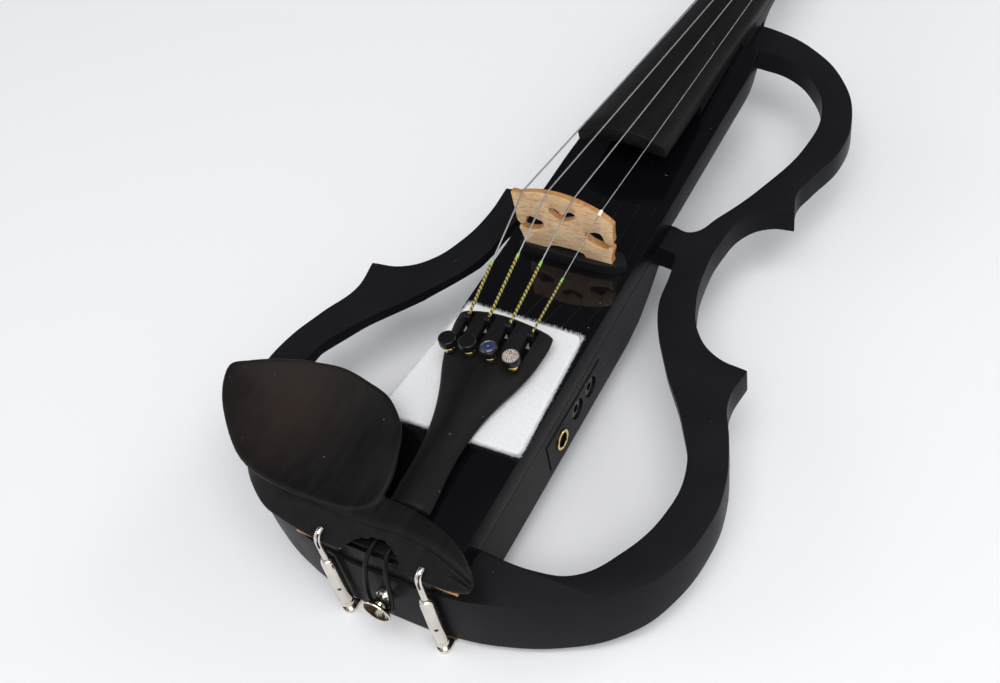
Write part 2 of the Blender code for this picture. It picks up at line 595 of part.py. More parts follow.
tailpiece = smooth(loft("tailpiece", [tailpiece_section(*row) for row in TAILPIECE], EBONY), 40)
for i, string in enumerate(STRING_NAMES):
    x = TUNER_X[i]
    top = tailpiece_top(x, TUNER_Y)
    under = top - 3.3
    boolean(tailpiece, block(f"tuner_slot_{string}", (x - 1.6, 93.7, 40), (x + 1.6, 109.3, 70), None,
                             home=cutters))
    boolean(tailpiece, rod(f"tuner_hole_{string}", (x, TUNER_Y, 55), "Z", 1.6, 20, None, 12,
                           home=cutters))
    nut_base = max(tailpiece_top(x - 2.4, TUNER_Y), tailpiece_top(x + 2.4, TUNER_Y)) + 0.35
    turned(f"tuner_nut_{string}", [(1.55, 2.4), (2.1, 2.4), (2.4, 0), (1.55, 0), (1.55, 2.4)],
           (x, TUNER_Y, nut_base), "Z", BRASS, 14)
    turned(f"tuner_screw_{string}", [(0, 4.2), (3.4, 4.2), (3.7, 3.8), (3.7, 0.8), (3.0, 0), (1.2, 0),
                                     (1.2, under - 0.1 - nut_base - 3.3), (0, under - 0.1 - nut_base - 3.3)],
           (x, TUNER_Y, nut_base + 3.3), "Z", BLACK_METAL, 16)
    bar_top = min(under, tailpiece_top(x, 107) - 3.3) - 1.5
    bar_low = bar_top - LEVER_THICK
    hook = 63.2 if string in "da" else 61.4
    lever = [(87.5, bar_low), (106.6, bar_low), (106.6, hook), (104.2, hook), (104.2, bar_top),
             (87.5, bar_top)]
    flat(f"tuner_lever_{string}", [lever], x - 1.2, x + 1.2, BLACK_METAL, along="X",
         origin=(x, PIVOT_Y, bar_top - LEVER_THICK / 2))


# ---------------------------------------------------------------- tail: button, tailgut, saddle
turned("end_button", [(0, 21), (3.4, 21), (3.8, 20), (3.8, -0.3), (4.7, -0.3), (4.7, -2.4), (3.6, -3.0),
                      (3.5, -5.4), (4.6, -6.8), (6.4, -8.2), (6.4, -8.8), (5.3, -8.8), (3.4, -6.2),
                      (0, -6.2)], (0, 0, BUTTON_Z), "Y", NICKEL, 24)
block("saddle", (-10.5, 3.0, BEAM_TOP + GAP), (13.5, 7.2, 48.3), EBONY)
loop = []
for i in range(9):
    turn = math.radians(160 + 220 * i / 8)
    loop.append((5.0 * math.cos(turn), -4.4, BUTTON_Z + 5.0 * math.sin(turn)))
strand_middle = [(2.5, 22.0, 50.0, 3.4), (2.2, 8, 50.0, 3.4), (1.9, 3.2, 49.8, 3.4), (1.7, -0.4, 47.8, 3.8),
                 (1.0, -2.2, 40, 4.6), (0.3, -3.4, 31, 5.2)]
bass_strand = [(x - half, y, z) for x, y, z, half in strand_middle]
treble_strand = [(x + half, y, z) for x, y, z, half in reversed(strand_middle)]
tube("tailgut", bass_strand + loop + treble_strand, 0.95, EBONY, 1)


# ---------------------------------------------------------------- chin rest, clamps and foam
CUP = [(-94.9, 47.8), (-90.6, 36.9), (-81.2, 25.7), (-66.4, 13.3), (-52.1, 7.8), (-34, 6.5), (-16, 9),
       (-6, 14.5), (-4.3, 26.5), (-7.1, 36.8), (-12, 47.1), (-23, 57), (-34, 60.7), (-47.9, 63.4),
       (-59.6, 62.2), (-67.9, 60.7), (-80, 56.7), (-89.4, 52.1)]
CUP_CENTRE = (-47, 35)


def cup_ring(scale, z):
    """The cup's outline shrunk towards its middle, at one height, with a point between each two."""
    ring = []
    for i, (x, y) in enumerate(CUP):
        before, after, later = CUP[i - 1], CUP[(i + 1) % len(CUP)], CUP[(i + 2) % len(CUP)]
        ring.append((x, y))
        ring.append(tuple((9 * (a + b) - c - d) / 16 for a, b, c, d in zip((x, y), after, before, later)))
    return [(CUP_CENTRE[0] + (x - CUP_CENTRE[0]) * scale, CUP_CENTRE[1] + (y - CUP_CENTRE[1]) * scale, z)
            for x, y in ring]


def cup_dip(x, y):
    """How much the cup's rim comes down where it runs into the bar."""
    return 4.6 * blend_between(x, -45, -12) * (1 - blend_between(y, 14, 40))


cup = [[(x, y, z - cup_dip(x, y) * high) for x, y, z in cup_ring(scale, z)] for scale, z, high in
       ((0.6, 51.5, 0), (0.82, 53.2, 0), (0.94, 57, 0.5), (1, 60.6, 1), (0.995, 61.8, 1), (0.97, 62.3, 1),
        (0.9, 61.4, 1), (0.7, 59.2, 0.6), (0.4, 57.6, 0.3), (0.15, 57.1, 0.1))]
chin_rest = loft("chin_rest", cup, EBONY)
smooth(chin_rest, 50)

# The bar across the tailpiece: X, then Y of its lower front edge, crease and back, heights of the last two
CHIN_BAR = [(-67, 13.5, 17.5, 30, 55.8, 57), (-60, 8.8, 14, 28, 56, 57.5), (-50, 2.8, 10.8, 25, 56, 57.5),
            (-33, -0.8, 7.2, 22, 55.6, 57.4), (-11, -0.6, 7.0, 20.6, 55.2, 57.2), (9, -0.4, 8.4, 20, 55, 56.6),
            (22, -0.6, 7.4, 17, 54.4, 55.6), (31, -0.6, 5.2, 13, 53.2, 54), (37, 0, 3.6, 8, 51.4, 52),
            (40, 1.2, 2.6, 5, 49.6, 50)]


def bar_section(x, low, crease, back, crease_z, back_z):
    """One cross-section of the bar: a sloping front, a crease under a rolled lip, a rising top."""
    points = [(low, 48.1), (low, 49.2), (crease - 0.4, crease_z - 0.9), (crease + 0.5, crease_z - 0.2),
              (crease + 0.3, crease_z + 0.6), (crease + 1.4, crease_z + 1.2), (back - 0.8, back_z),
              (back, back_z - 0.8), (back, 48.1)]
    return [(x, y, z) for y, z in points]


bar = loft("chin_rest_bar", [bar_section(*row) for row in CHIN_BAR], None, home=cutters)
boolean(chin_rest, bar, "UNION")
arch = [(-13, 48), (-10, 50.4), (-5, 51.9), (1, 52.4), (7, 51.9), (13, 50.2), (17, 48)]
boolean(chin_rest, flat("chin_rest_arch", [[(z, x) for x, z in arch] + [(40, 17), (40, -13)]], -20, 40,
                        None, along="Y", home=cutters))

for side, low, high in (("bass", -33, -13.5), ("treble", 17.5, 36)):
    block(f"chin_rest_cork_{side}", (low, -0.8, BEAM_TOP + GAP), (high, 8.5, 47.8), CORK)

for side, clamp in ((-1, "bass"), (1, "treble")):
    x = side * CLAMP_X
    turned(f"clamp_barrel_{clamp}", [(0, 35.6), (2.4, 35.6), (3.0, 35.0), (3.0, 4.2), (2.4, 3.6), (0, 3.6)],
           (x, CLAMP_Y, 0), "Z", NICKEL, 20)
    tube(f"clamp_hook_{clamp}", [(x, CLAMP_Y, 35.9), (x, CLAMP_Y, 44), (x, CLAMP_Y, 50), (x, -1.6, 52),
                                 (x, 0, 52.9), (x, 1.4, 53.0)], 1.45, NICKEL, 1)
clamp_foot = flat("clamp_foot", [[(1.5, -1.5 * math.tan(TILT)), (12, -12 * math.tan(TILT)), (12, 2.0),
                                  (1.5, 2.0)]], -25, 25, NICKEL, along="X")
for side in (-1, 1):
    middle = side * CLAMP_X
    lug = [(middle - 2.8, 3), (middle - 2.8, CLAMP_Y), (middle - 2, CLAMP_Y - 2), (middle, CLAMP_Y - 2.8),
           (middle + 2, CLAMP_Y - 2), (middle + 2.8, CLAMP_Y), (middle + 2.8, 3)]
    boolean(clamp_foot, flat(f"clamp_lug_{side + 1}", [lug], 0.3, 1.8, None, home=cutters), "UNION")
    boolean(clamp_foot, rod(f"clamp_stub_{side + 1}", (middle, CLAMP_Y, 2.2), "Z", 1.6, 2.2, None,
                            home=cutters), "UNION")
block("clamp_foot_cork", (-24, 2.2, 2.3), (24, 11.8, TAIL_UNDERSIDE - 0.3), CORK)

flat("packing_foam", [[(-33.4, 57.4), (29.6, 59), (26.6, 120.4), (-26.6, 121)]], BEAM_TOP + GAP, 49.0, FOAM)
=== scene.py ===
"""The looks of the electric violin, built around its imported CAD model.

Pieces are drawn in violin coordinates, in millimetres: X towards the treble side, Y from the tail
towards the scroll, Z away from the back. DATUM lays them down as the CAD model lies.
"""
import math
import random

import bmesh
import bpy
from mathutils import Matrix, Vector


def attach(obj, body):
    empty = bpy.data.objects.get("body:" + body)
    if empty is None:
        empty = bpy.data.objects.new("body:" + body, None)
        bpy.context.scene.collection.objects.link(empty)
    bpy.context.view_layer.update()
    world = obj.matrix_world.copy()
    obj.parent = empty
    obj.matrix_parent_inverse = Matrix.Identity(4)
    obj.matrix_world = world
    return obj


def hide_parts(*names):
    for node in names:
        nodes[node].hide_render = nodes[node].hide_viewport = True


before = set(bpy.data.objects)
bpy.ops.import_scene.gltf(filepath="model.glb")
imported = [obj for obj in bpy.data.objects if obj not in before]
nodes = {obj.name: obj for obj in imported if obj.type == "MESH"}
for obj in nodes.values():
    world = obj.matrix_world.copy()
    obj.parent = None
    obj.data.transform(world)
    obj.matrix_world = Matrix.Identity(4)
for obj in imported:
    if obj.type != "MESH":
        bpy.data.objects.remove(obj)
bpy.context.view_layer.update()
BODY = "violin_body"

MM = 0.001
TILT = math.radians(1.6)
DATUM = Matrix.Translation((0, -0.2918, 0)) @ Matrix.Rotation(TILT, 4, "X")

FRAME_TOP = 34.8                # top of the flat body frame
BEAM_HALF = 29.3                # half width of the top board and of the housing under it
BEAM_TOP = 46.2                 # top of the top board
BEAM_END = 318.0                # where the neck starts
PANEL_FACE = BEAM_HALF + 0.4    # outer face of the jack panel
OUTPUT_JACK = (PANEL_FACE, 88, 22)
BRIDGE_Y = 160.0
BRIDGE_X = 1.6                  # it stands a little to the treble side
FOOT = 51.3                     # underside of the bridge's feet
STRING_AT_BRIDGE = 83.9         # middle of the string plane over the bridge
NUT_Y = 488.0
NUT_TOP = 33.8
BOARD_START = 218.0             # the fingerboard, from its body end to the nut
BOARD_RADIUS = 42.0             # arch of its upper face
BOARD_THICK = 5.5
BOARD_HALF = (21.2, 12.0)       # half widths at the body end and at the nut
BOARD_EDGE = (64.0, 31.8)       # height of its upper edges at the same ends
STRINGS = ("g", "d", "a", "e")
STRING_X = (-15.6, -4.1, 7.4, 18.9)
NUT_X = (-8.1, -2.7, 2.7, 8.1)
STRING_RADIUS = (0.37, 0.34, 0.31, 0.2)
PEGS = {"g": (-1, 503.0), "e": (1, 515.0), "d": (-1, 529.0), "a": (1, 541.0)}
PEG_DROP = 9.0                  # from the pegbox rim down to a peg's axis
SCROLL_RADIUS = 19.3
SCROLL_Y = 574.0
SCROLL_Z = (SCROLL_RADIUS - SCROLL_Y * math.sin(TILT)) / math.cos(TILT)
TUNER_X = (-16.1, -6.6, 2.9, 12.4)
TUNER_Y = 89.7
KNOB_SEAT = 3.3                 # from the tailpiece nut up to the screw's head
KNOB_HEIGHT = 4.1
BUTTON_Z = 22.2
CLAMP_X = 21.6
CLAMP_Y = -2.4


# ---------------------------------------------------------------- camera, floor and light
scene = bpy.context.scene
scene.view_settings.view_transform = "Standard"
scene.view_settings.look = "None"


def aim_camera(lens, azimuth, elevation, roll, place):
    """A camera in violin coordinates."""
    a, e, r = (math.radians(v) for v in (azimuth, elevation, roll))
    back = Vector((math.sin(a) * math.cos(e), -math.cos(a) * math.cos(e), math.sin(e)))
    right = Vector((math.cos(a), math.sin(a), 0))
    up = back.cross(right)
    right, up = right * math.cos(r) + up * math.sin(r), up * math.cos(r) - right * math.sin(r)
    turn = Matrix((right, up, back)).transposed().to_4x4()
    data = bpy.data.cameras.new("camera")
    data.sensor_width = 36
    data.lens = lens
    data.clip_start = 0.01
    camera = bpy.data.objects.new("camera", data)
    scene.collection.objects.link(camera)
    camera.matrix_world = DATUM @ Matrix.Translation(Vector(place) * MM) @ turn
    scene.camera = camera


aim_camera(44.93, 38.17, 48.25, -13.43, (202.99, -156.94, 423.66))


class Look:
    """A Principled material and the record's slot that it belongs to."""

    def __init__(self, name, slot, colour, roughness, metallic=0.0, **sockets):
        self.slot = slot
        self.material = bpy.data.materials.new(name)
        self.material.use_nodes = True
        self.tree = self.material.node_tree
        self.shader = self.tree.nodes["Principled BSDF"]
        self.set("Base Color", (*colour, 1))
        self.set("Roughness", roughness)
        self.set("Metallic", metallic)
        for socket, value in sockets.items():
            self.set(socket.replace("_", " "), value)
        self.place = self.add("ShaderNodeTexCoord").outputs["Object"]

    def set(self, socket, value):
        if isinstance(value, bpy.types.NodeSocket):
            self.tree.links.new(value, self.shader.inputs[socket])
        else:
            self.shader.inputs[socket].default_value = value

    def add(self, kind, sockets=None, **settings):
        """A node with its settings, and values or links for its sockets."""
        node = self.tree.nodes.new(kind)
        for key, value in settings.items():
            setattr(node, key, value)
        for socket, value in (sockets or {}).items():
            if isinstance(value, bpy.types.NodeSocket):
                self.tree.links.new(value, node.inputs[socket])
            else:
                node.inputs[socket].default_value = value
        return node

    def stretched(self, scale, turn=(0, 0, 0)):
        """Object coordinates, scaled by a different amount along each axis."""
        return self.add("ShaderNodeMapping", {"Vector": self.place, "Scale": scale,
                                              "Rotation": turn}).outputs["Vector"]

    def noise(self, scale, detail=3.0, rough=0.55, place=None):
        return self.add("ShaderNodeTexNoise", {"Vector": place or self.place, "Scale": scale,
                                               "Detail": detail, "Roughness": rough}).outputs["Fac"]

    def ramp(self, value, low, high, start=0.0, end=1.0):
        """Value from low to high becomes start to end, clamped."""
        return self.add("ShaderNodeMapRange", {"Value": value, "From Min": low, "From Max": high,
                                               "To Min": start, "To Max": end}).outputs["Result"]

    def math(self, operation, first, second=0.0):
        return self.add("ShaderNodeMath", {0: first, 1: second}, operation=operation).outputs[0]

    def mix(self, factor, first, second):
        """A colour between two colours."""
        node = self.add("ShaderNodeMix", data_type="RGBA")
        for index, value in ((0, factor), (6, first), (7, second)):
            if isinstance(value, bpy.types.NodeSocket):
                self.tree.links.new(value, node.inputs[index])
            else:
                node.inputs[index].default_value = value if index == 0 else (*value, 1)
        return node.outputs[2]

    def facing(self, axis):
        """How far the surface faces along an axis of the object, from -1 to 1."""
        normal = self.add("ShaderNodeTexCoord").outputs["Normal"]
        return self.add("ShaderNodeSeparateXYZ", {0: normal}).outputs[axis]

    def bump(self, height, distance, strength=1.0):
        self.set("Normal", self.add("ShaderNodeBump", {"Height": height, "Distance": distance * MM,
                                                       "Strength": strength}).outputs["Normal"])


def floor_and_light():
    floor_look = Look("floor_paper", "", (0.9, 0.905, 0.92), 0.7)
    floor_look.bump(floor_look.noise(90), 0.15, 0.3)
    shape = bmesh.new()
    bmesh.ops.create_grid(shape, x_segments=1, y_segments=1, size=3)
    mesh = bpy.data.meshes.new("floor")
    shape.to_mesh(mesh)
    shape.free()
    mesh.materials.append(floor_look.material)
    floor = bpy.data.objects.new("floor", mesh)
    scene.collection.objects.link(floor)
    world = scene.world or bpy.data.worlds.new("studio")
    scene.world = world
    world.use_nodes = True
    sky = world.node_tree
    ray = sky.nodes.new("ShaderNodeTexCoord").outputs["Generated"]
    towards = sky.nodes.new("ShaderNodeVectorMath")
    towards.operation = "DOT_PRODUCT"
    towards.inputs[1].default_value = Vector((-0.40, 0.64, 0.64)).normalized()
    sky.links.new(ray, towards.inputs[0])
    dim = sky.nodes.new("ShaderNodeMapRange")
    for socket, value in (("From Min", 0.55), ("From Max", 0.86), ("To Min", 1.0), ("To Max", 0.13)):
        dim.inputs[socket].default_value = value
    sky.links.new(towards.outputs["Value"], dim.inputs["Value"])
    sky.nodes["Background"].inputs["Color"].default_value = (0.92, 0.95, 1.0, 1)
    strength = sky.nodes.new("ShaderNodeMath")
    strength.operation = "MULTIPLY"
    strength.inputs[1].default_value = 0.7
    sky.links.new(dim.outputs["Result"], strength.inputs[0])
    sky.links.new(strength.outputs[0], sky.nodes["Background"].inputs["Strength"])
    for name, place, size, power, colour in (
            ("over", (0.45, -0.8, 1.7), 1.5, 23, (1, 0.985, 0.96)),
            ("side", (-1.7, -0.9, 1.0), 0.9, 3, (0.94, 0.97, 1)),
            ("far", (1.2, 1.3, 1.3), 0.9, 5, (1, 1, 1))):
        data = bpy.data.lights.new(name, "AREA")
        data.size = size
        data.energy = power
        data.color = colour
        light = bpy.data.objects.new(name, data)
        light.location = place
        light.rotation_euler = (Vector((0, -0.1, 0)) - Vector(place)).to_track_quat("-Z", "Y").to_euler()
        scene.collection.objects.link(light)


floor_and_light()


# ---------------------------------------------------------------- materials
def dust(look, base, amount=0.5, grey=(0.25, 0.25, 0.26)):
    """Colour with sparse pale specks of dust."""
    specks = look.add("ShaderNodeTexVoronoi", {"Vector": look.place, "Scale": 420.0}).outputs["Distance"]
    rare = look.noise(130, 2)
    size = look.ramp(rare, 0.62, 0.72, 0.0, 0.16)
    spot = look.math("MULTIPLY", look.math("LESS_THAN", specks, size), amount)
    return look.mix(spot, base, grey)


def satin():
    look = Look("satin_lacquer", "satin_black", (0.009, 0.009, 0.010), 0.36, Specular_IOR_Level=0.15)
    cloudy = look.noise(38, 4)
    upright = look.math("ABSOLUTE", look.facing("Z"))
    look.set("Specular IOR Level", look.ramp(upright, 0.15, 0.8, 0.05, 0.19))
    look.set("Roughness", look.ramp(cloudy, 0.3, 0.7, 0.30, 0.42))
    look.set("Base Color", dust(look, look.mix(cloudy, (0.007, 0.007, 0.0085), (0.010, 0.010, 0.0115))))
    look.bump(look.noise(1500, 2), 0.02, 0.5)
    return look


def gloss():
    look = Look("gloss_lacquer", "gloss_black", (0.003, 0.003, 0.004), 0.05)
    wipe = look.noise(9, 5, 0.6, look.stretched((1, 0.25, 1), (0, 0, 0.3)))
    flat_top = look.ramp(look.facing("Z"), 0.75, 0.97)
    shine = look.ramp(wipe, 0.4, 0.75, 0.38, 0.33)
    look.set("Roughness", look.math("SUBTRACT", 0.4, look.math("MULTIPLY", flat_top, shine)))
    look.set("Specular IOR Level", look.ramp(flat_top, 0, 1, 0.07, 0.34))
    look.set("Base Color", dust(look, (0.003, 0.003, 0.004), 0.5))
    return look


def ebony(name="ebony", worn=None):
    """Black wood with fine grain along Y; worn is the centre and radius of a browner patch."""
    look = Look(name, "ebony", (0.008, 0.007, 0.007), 0.5, Specular_IOR_Level=0.11)
    grain = look.noise(260, 4, 0.6, look.stretched((1, 0.06, 1)))
    colour = look.mix(look.ramp(grain, 0.35, 0.7), (0.0055, 0.0055, 0.006), (0.010, 0.0095, 0.010))
    if worn:
        centre, radius = worn
        away = look.add("ShaderNodeVectorMath", {0: look.place, 1: Vector(centre) * MM},
                        operation="DISTANCE").outputs["Value"]
        rough_edge = look.math("ADD", away, look.ramp(look.noise(45, 5), 0, 1, -0.014, 0.014))
        colour = look.mix(look.ramp(rough_edge, radius * 1.3 * MM, radius * 0.3 * MM, 0, 0.5), colour,
                          (0.040, 0.027, 0.022))
    look.set("Base Color", dust(look, colour, 0.45))
    look.set("Roughness", look.ramp(grain, 0.3, 0.7, 0.44, 0.52))
    look.bump(grain, 0.06, 0.5)
    return look


def maple():
    look = Look("bridge_maple", "maple", (0.72, 0.52, 0.31), 0.45)
    flecks = look.noise(900, 2, 0.5, look.stretched((0.28, 1, 1.6)))
    soft = look.noise(160, 3, 0.5, look.stretched((0.4, 1, 1)))
    face = look.mix(look.ramp(soft, 0.3, 0.7), (0.71, 0.45, 0.24), (0.82, 0.59, 0.36))
    face = look.mix(look.ramp(flecks, 0.55, 0.66, 0, 0.6), face, (0.42, 0.20, 0.07))
    facing = look.math("ABSOLUTE", look.facing("Y"))
    edge = look.mix(look.ramp(flecks, 0.4, 0.7), (0.50, 0.24, 0.075), (0.34, 0.14, 0.04))
    look.set("Base Color", look.mix(look.ramp(facing, 0.55, 0.8), edge, face))
    look.bump(flecks, 0.05, 0.4)
    return look


def metal(name, slot, colour, roughness):
    """Metal with faint smudges in its shine and colour."""
    look = Look(name, slot, colour, roughness, 1.0)
    smudge = look.noise(160, 4)
    look.set("Roughness", look.ramp(smudge, 0.35, 0.75, roughness * 0.75, roughness * 1.5 + 0.03))
    look.set("Base Color", look.mix(look.ramp(smudge, 0.3, 0.8), colour, tuple(c * 0.82 for c in colour)))
    return look


def painted_reflection_metal():
    """Nickel with brown and dark patches in its colour: a painted reflection of gold and black inside the
    mouth of the end button.
    """
    look = Look("nickel_with_painted_reflection", "nickel", (0.4, 0.3, 0.2), 0.1, 1.0)
    patches = look.noise(210, 1.5, 0.4)
    # Painted reflection: the dark brown to pale patches stand in for what the hollow mouth mirrors.
    look.set("Base Color", look.mix(look.ramp(patches, 0.44, 0.52), (0.05, 0.032, 0.02), (0.72, 0.62, 0.50)))
    look.bump(look.noise(400, 2), 0.05, 0.4)
    return look


def cork():
    look = Look("pressed_cork", "cork", (0.5, 0.25, 0.1), 0.85)
    grains = look.add("ShaderNodeTexVoronoi", {"Vector": look.place, "Scale": 700.0})
    colour = look.mix(look.ramp(look.noise(900, 3), 0.35, 0.7), (0.62, 0.30, 0.11), (0.28, 0.11, 0.04))
    look.set("Base Color", colour)
    look.bump(grains.outputs["Distance"], 0.15)
    return look


def foam():
    """Bright fuzzy foam that lets a little light through."""
    look = Look("white_foam", "foam", (0.86, 0.87, 0.89), 0.95, Subsurface_Weight=0.25)
    look.set("Subsurface Radius", (0.004, 0.004, 0.004))
    fuzz = look.noise(900, 5, 0.7)
    look.set("Base Color", look.mix(look.ramp(fuzz, 0.3, 0.7), (0.74, 0.745, 0.76), (0.84, 0.845, 0.855)))
    look.bump(fuzz, 0.4, 0.6)
    return look


def silk(name, light, dark):
    """Two-coloured thread wound round a string end, with the stripes running round Y."""
    look = Look(name, "string_steel", light, 0.55)
    stripes = look.add("ShaderNodeTexWave", {"Vector": look.stretched((1.1, 1, 1.1), (0.3, 0, 0.3)),
                                             "Scale": 240.0, "Distortion": 0.3, "Detail": 1.0},
                       bands_direction="Y").outputs["Fac"]
    look.set("Base Color", look.mix(look.ramp(stripes, 0.32, 0.52), dark, light))
    look.bump(stripes, 0.2)
    return look


def plastic(name, colour, roughness, slot="black_plastic", **sockets):
    look = Look(name, slot, colour, roughness, **sockets)
    grain = look.noise(1300, 2)
    look.set("Base Color", dust(look, look.mix(grain, colour, tuple(c * 1.5 for c in colour)), 0.3))
    look.bump(grain, 0.03, 0.5)
    return look


SATIN = satin()
GLOSS = gloss()
EBONY = ebony()
CHIN = ebony("chin_rest_ebony", ((-62, 42, 60), 30))
MAPLE = maple()
NICKEL = metal("nickel_plate", "nickel", (0.74, 0.69, 0.62), 0.10)
# Nickel with a painted reflection, for the end button's mouth.
MOUTH_METAL = painted_reflection_metal()
GEM = metal("foil_stone", "nickel", (0.70, 0.62, 0.57), 0.34)
GLASS_BLUE = Look("blue_glass", "black_metal", (0.02, 0.035, 0.09), 0.08, Coat_Weight=0.5)
BRASS = metal("polished_brass", "brass", (0.86, 0.62, 0.24), 0.16)
STEEL = metal("string_wire", "string_steel", (0.50, 0.50, 0.51), 0.34)
DARK_METAL = plastic("black_enamel", (0.006, 0.006, 0.007), 0.24, "black_metal",
                     Specular_IOR_Level=0.22)
PLASTIC = plastic("black_moulding", (0.007, 0.007, 0.008), 0.42, Specular_IOR_Level=0.25)
CORK = cork()
FOAM = foam()
SILK = silk("thread_gold", (0.46, 0.37, 0.06), (0.035, 0.03, 0.015))
SILK_TIP = silk("thread_lime", (0.33, 0.62, 0.09), (0.20, 0.45, 0.05))
NYLON = plastic("black_nylon_cord", (0.004, 0.004, 0.004), 0.45, "black_nylon",
                Specular_IOR_Level=0.12)
BOARD_GREEN = plastic("circuit_green", (0.02, 0.15, 0.06), 0.4, "circuit_board")
BATTERY = metal("battery_can", "battery_case", (0.12, 0.12, 0.13), 0.35)
SLEEVE = plastic("white_sleeve", (0.75, 0.75, 0.72), 0.5, "maple")


# ---------------------------------------------------------------- building blocks
def piece(name, mesh, look, body=BODY, replaces=()):
    """An object of a mesh in violin coordinates, riding on a body and standing for CAD nodes."""
    made = bpy.data.objects.new(name, mesh)
    scene.collection.objects.link(made)
    made.matrix_world = DATUM
    mesh.materials.clear()
    mesh.materials.append(look.material)
    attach(made, body)
    if replaces:
        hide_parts(*replaces)
    return made


def shade(mesh, crease):
    """Smooth shading up to a crease angle."""
    mesh.shade_smooth()
    mesh.set_sharp_from_angle(angle=math.radians(crease))


def mesh_of(shape, name, crease=35):
    """A bmesh drawn in millimetres as a smooth-shaded mesh in metres."""
    bmesh.ops.recalc_face_normals(shape, faces=shape.faces)
    bmesh.ops.scale(shape, vec=(MM, MM, MM), verts=shape.verts)
    mesh = bpy.data.meshes.new(name)
    shape.to_mesh(mesh)
    shape.free()
    shade(mesh, crease)
    return mesh


def add_block(shape, low, high):
    """A box between two corners, added to a bmesh."""
    low, high = Vector(low), Vector(high)
    made = bmesh.ops.create_cube(shape, size=1)["verts"]
    bmesh.ops.scale(shape, vec=high - low, verts=made)
    bmesh.ops.translate(shape, vec=(low + high) / 2, verts=made)
    return made


def add_rings(shape, rings, closed=False):
    """Skin through rings of equal point count, capped at its ends unless it closes on itself."""
    made = [[shape.verts.new(point) for point in ring] for ring in rings]
    count = len(made[0])
    pairs = list(zip(made, made[1:])) + ([(made[-1], made[0])] if closed else [])
    for near, far in pairs:
        for i in range(count):
            j = (i + 1) % count
            shape.faces.new((near[i], near[j], far[j], far[i]))
    if not closed:
        shape.faces.new(made[0])
        shape.faces.new(made[-1])
    return [v for ring in made for v in ring]


def joined(name, shape, look, crease=35, **where):
    """A piece of a bmesh."""
    return piece(name, mesh_of(shape, name, crease), look, **where)


def loft(name, rings, look, crease=35, **where):
    shape = bmesh.new()
    add_rings(shape, rings)
    return joined(name, shape, look, crease, **where)


def add_turned(shape, profile, centre, axis="Z", steps=48):
    """A turned solid: (radius, height) rows along an axis, the heights counted from the centre.

    A profile that ends on its first row is a ring with a hole through it.
    """
    frames = {"X": (Vector((0, 1, 0)), Vector((0, 0, 1)), Vector((1, 0, 0))),
              "Y": (Vector((0, 0, 1)), Vector((1, 0, 0)), Vector((0, 1, 0))),
              "Z": (Vector((1, 0, 0)), Vector((0, 1, 0)), Vector((0, 0, 1)))}
    u, v, w = frames[axis]
    centre = Vector(centre)
    rings = []
    for radius, height in profile:
        radius = max(radius, 0.001)
        rings.append([centre + w * height + (u * math.cos(a) + v * math.sin(a)) * radius
                      for a in (math.tau * i / steps for i in range(steps))])
    closed = profile[0] == profile[-1]
    made = add_rings(shape, rings[:-1] if closed else rings, closed)
    bmesh.ops.remove_doubles(shape, verts=made, dist=0.003)


def turned(name, profile, centre, axis, look, steps=48, crease=30, **where):
    shape = bmesh.new()
    add_turned(shape, profile, centre, axis, steps)
    return joined(name, shape, look, crease, **where)


def rounded(made, width, segments=3, angle=40):
    """Rounds the edges sharper than an angle."""
    change = made.modifiers.new("rounding", "BEVEL")
    change.width = width * MM
    change.segments = segments
    change.limit_method = "ANGLE"
    change.angle_limit = math.radians(angle)
    return made


SHEETS = {"Z": Matrix.Identity(4),
          "X": Matrix(((0, 0, 1, 0), (1, 0, 0, 0), (0, 1, 0, 0), (0, 0, 0, 1))),
          "Y": Matrix(((0, 1, 0, 0), (0, 0, 1, 0), (1, 0, 0, 0), (0, 0, 0, 1)))}


def evaluated_mesh(made):
    """The mesh that an object's curve or modifiers make."""
    bpy.context.view_layer.update()
    return bpy.data.meshes.new_from_object(made.evaluated_get(bpy.context.evaluated_depsgraph_get()))


def applied(made, crease=35):
    """Makes the modifiers' result the object's own mesh."""
    mesh = evaluated_mesh(made)
    made.modifiers.clear()
    made.data = mesh
    shade(mesh, crease)
    return made


def mesh_from_curve(drawing):
    drawn = bpy.data.objects.new(drawing.name, drawing)
    scene.collection.objects.link(drawn)
    mesh = evaluated_mesh(drawn)
    bpy.data.objects.remove(drawn, do_unlink=True)
    return mesh


def flat_mesh(name, loops, low, high, along="Z", detail=16, curved=True):
    """A flat outline extruded from low to high. A third value of 1 on a point marks a corner."""
    drawing = bpy.data.curves.new(name, "CURVE")
    drawing.dimensions = "2D"
    drawing.fill_mode = "BOTH"
    drawing.extrude = (high - low) / 2 * MM
    drawing.resolution_u = detail
    for loop in loops:
        if curved:
            spline = drawing.splines.new("BEZIER")
            spline.bezier_points.add(len(loop) - 1)
            for point, (a, b, *corner) in zip(spline.bezier_points, loop):
                point.co = (a * MM, b * MM, 0)
                kind = "VECTOR" if corner and corner[0] == 1 else "AUTO"
                point.handle_left_type = kind
                point.handle_right_type = kind
        else:
            spline = drawing.splines.new("POLY")
            spline.points.add(len(loop) - 1)
            for point, (a, b, *_) in zip(spline.points, loop):
                point.co = (a * MM, b * MM, 0, 1)
        spline.use_cyclic_u = True
    mesh = mesh_from_curve(drawing)
    shape = bmesh.new()
    shape.from_mesh(mesh)
    bmesh.ops.remove_doubles(shape, verts=shape.verts, dist=0.002 * MM)
    bmesh.ops.transform(shape, verts=shape.verts,
                        matrix=SHEETS[along] @ Matrix.Translation((0, 0, (low + high) / 2 * MM)))
    bmesh.ops.recalc_face_normals(shape, faces=shape.faces)
    shape.to_mesh(mesh)
    shape.free()
    return mesh


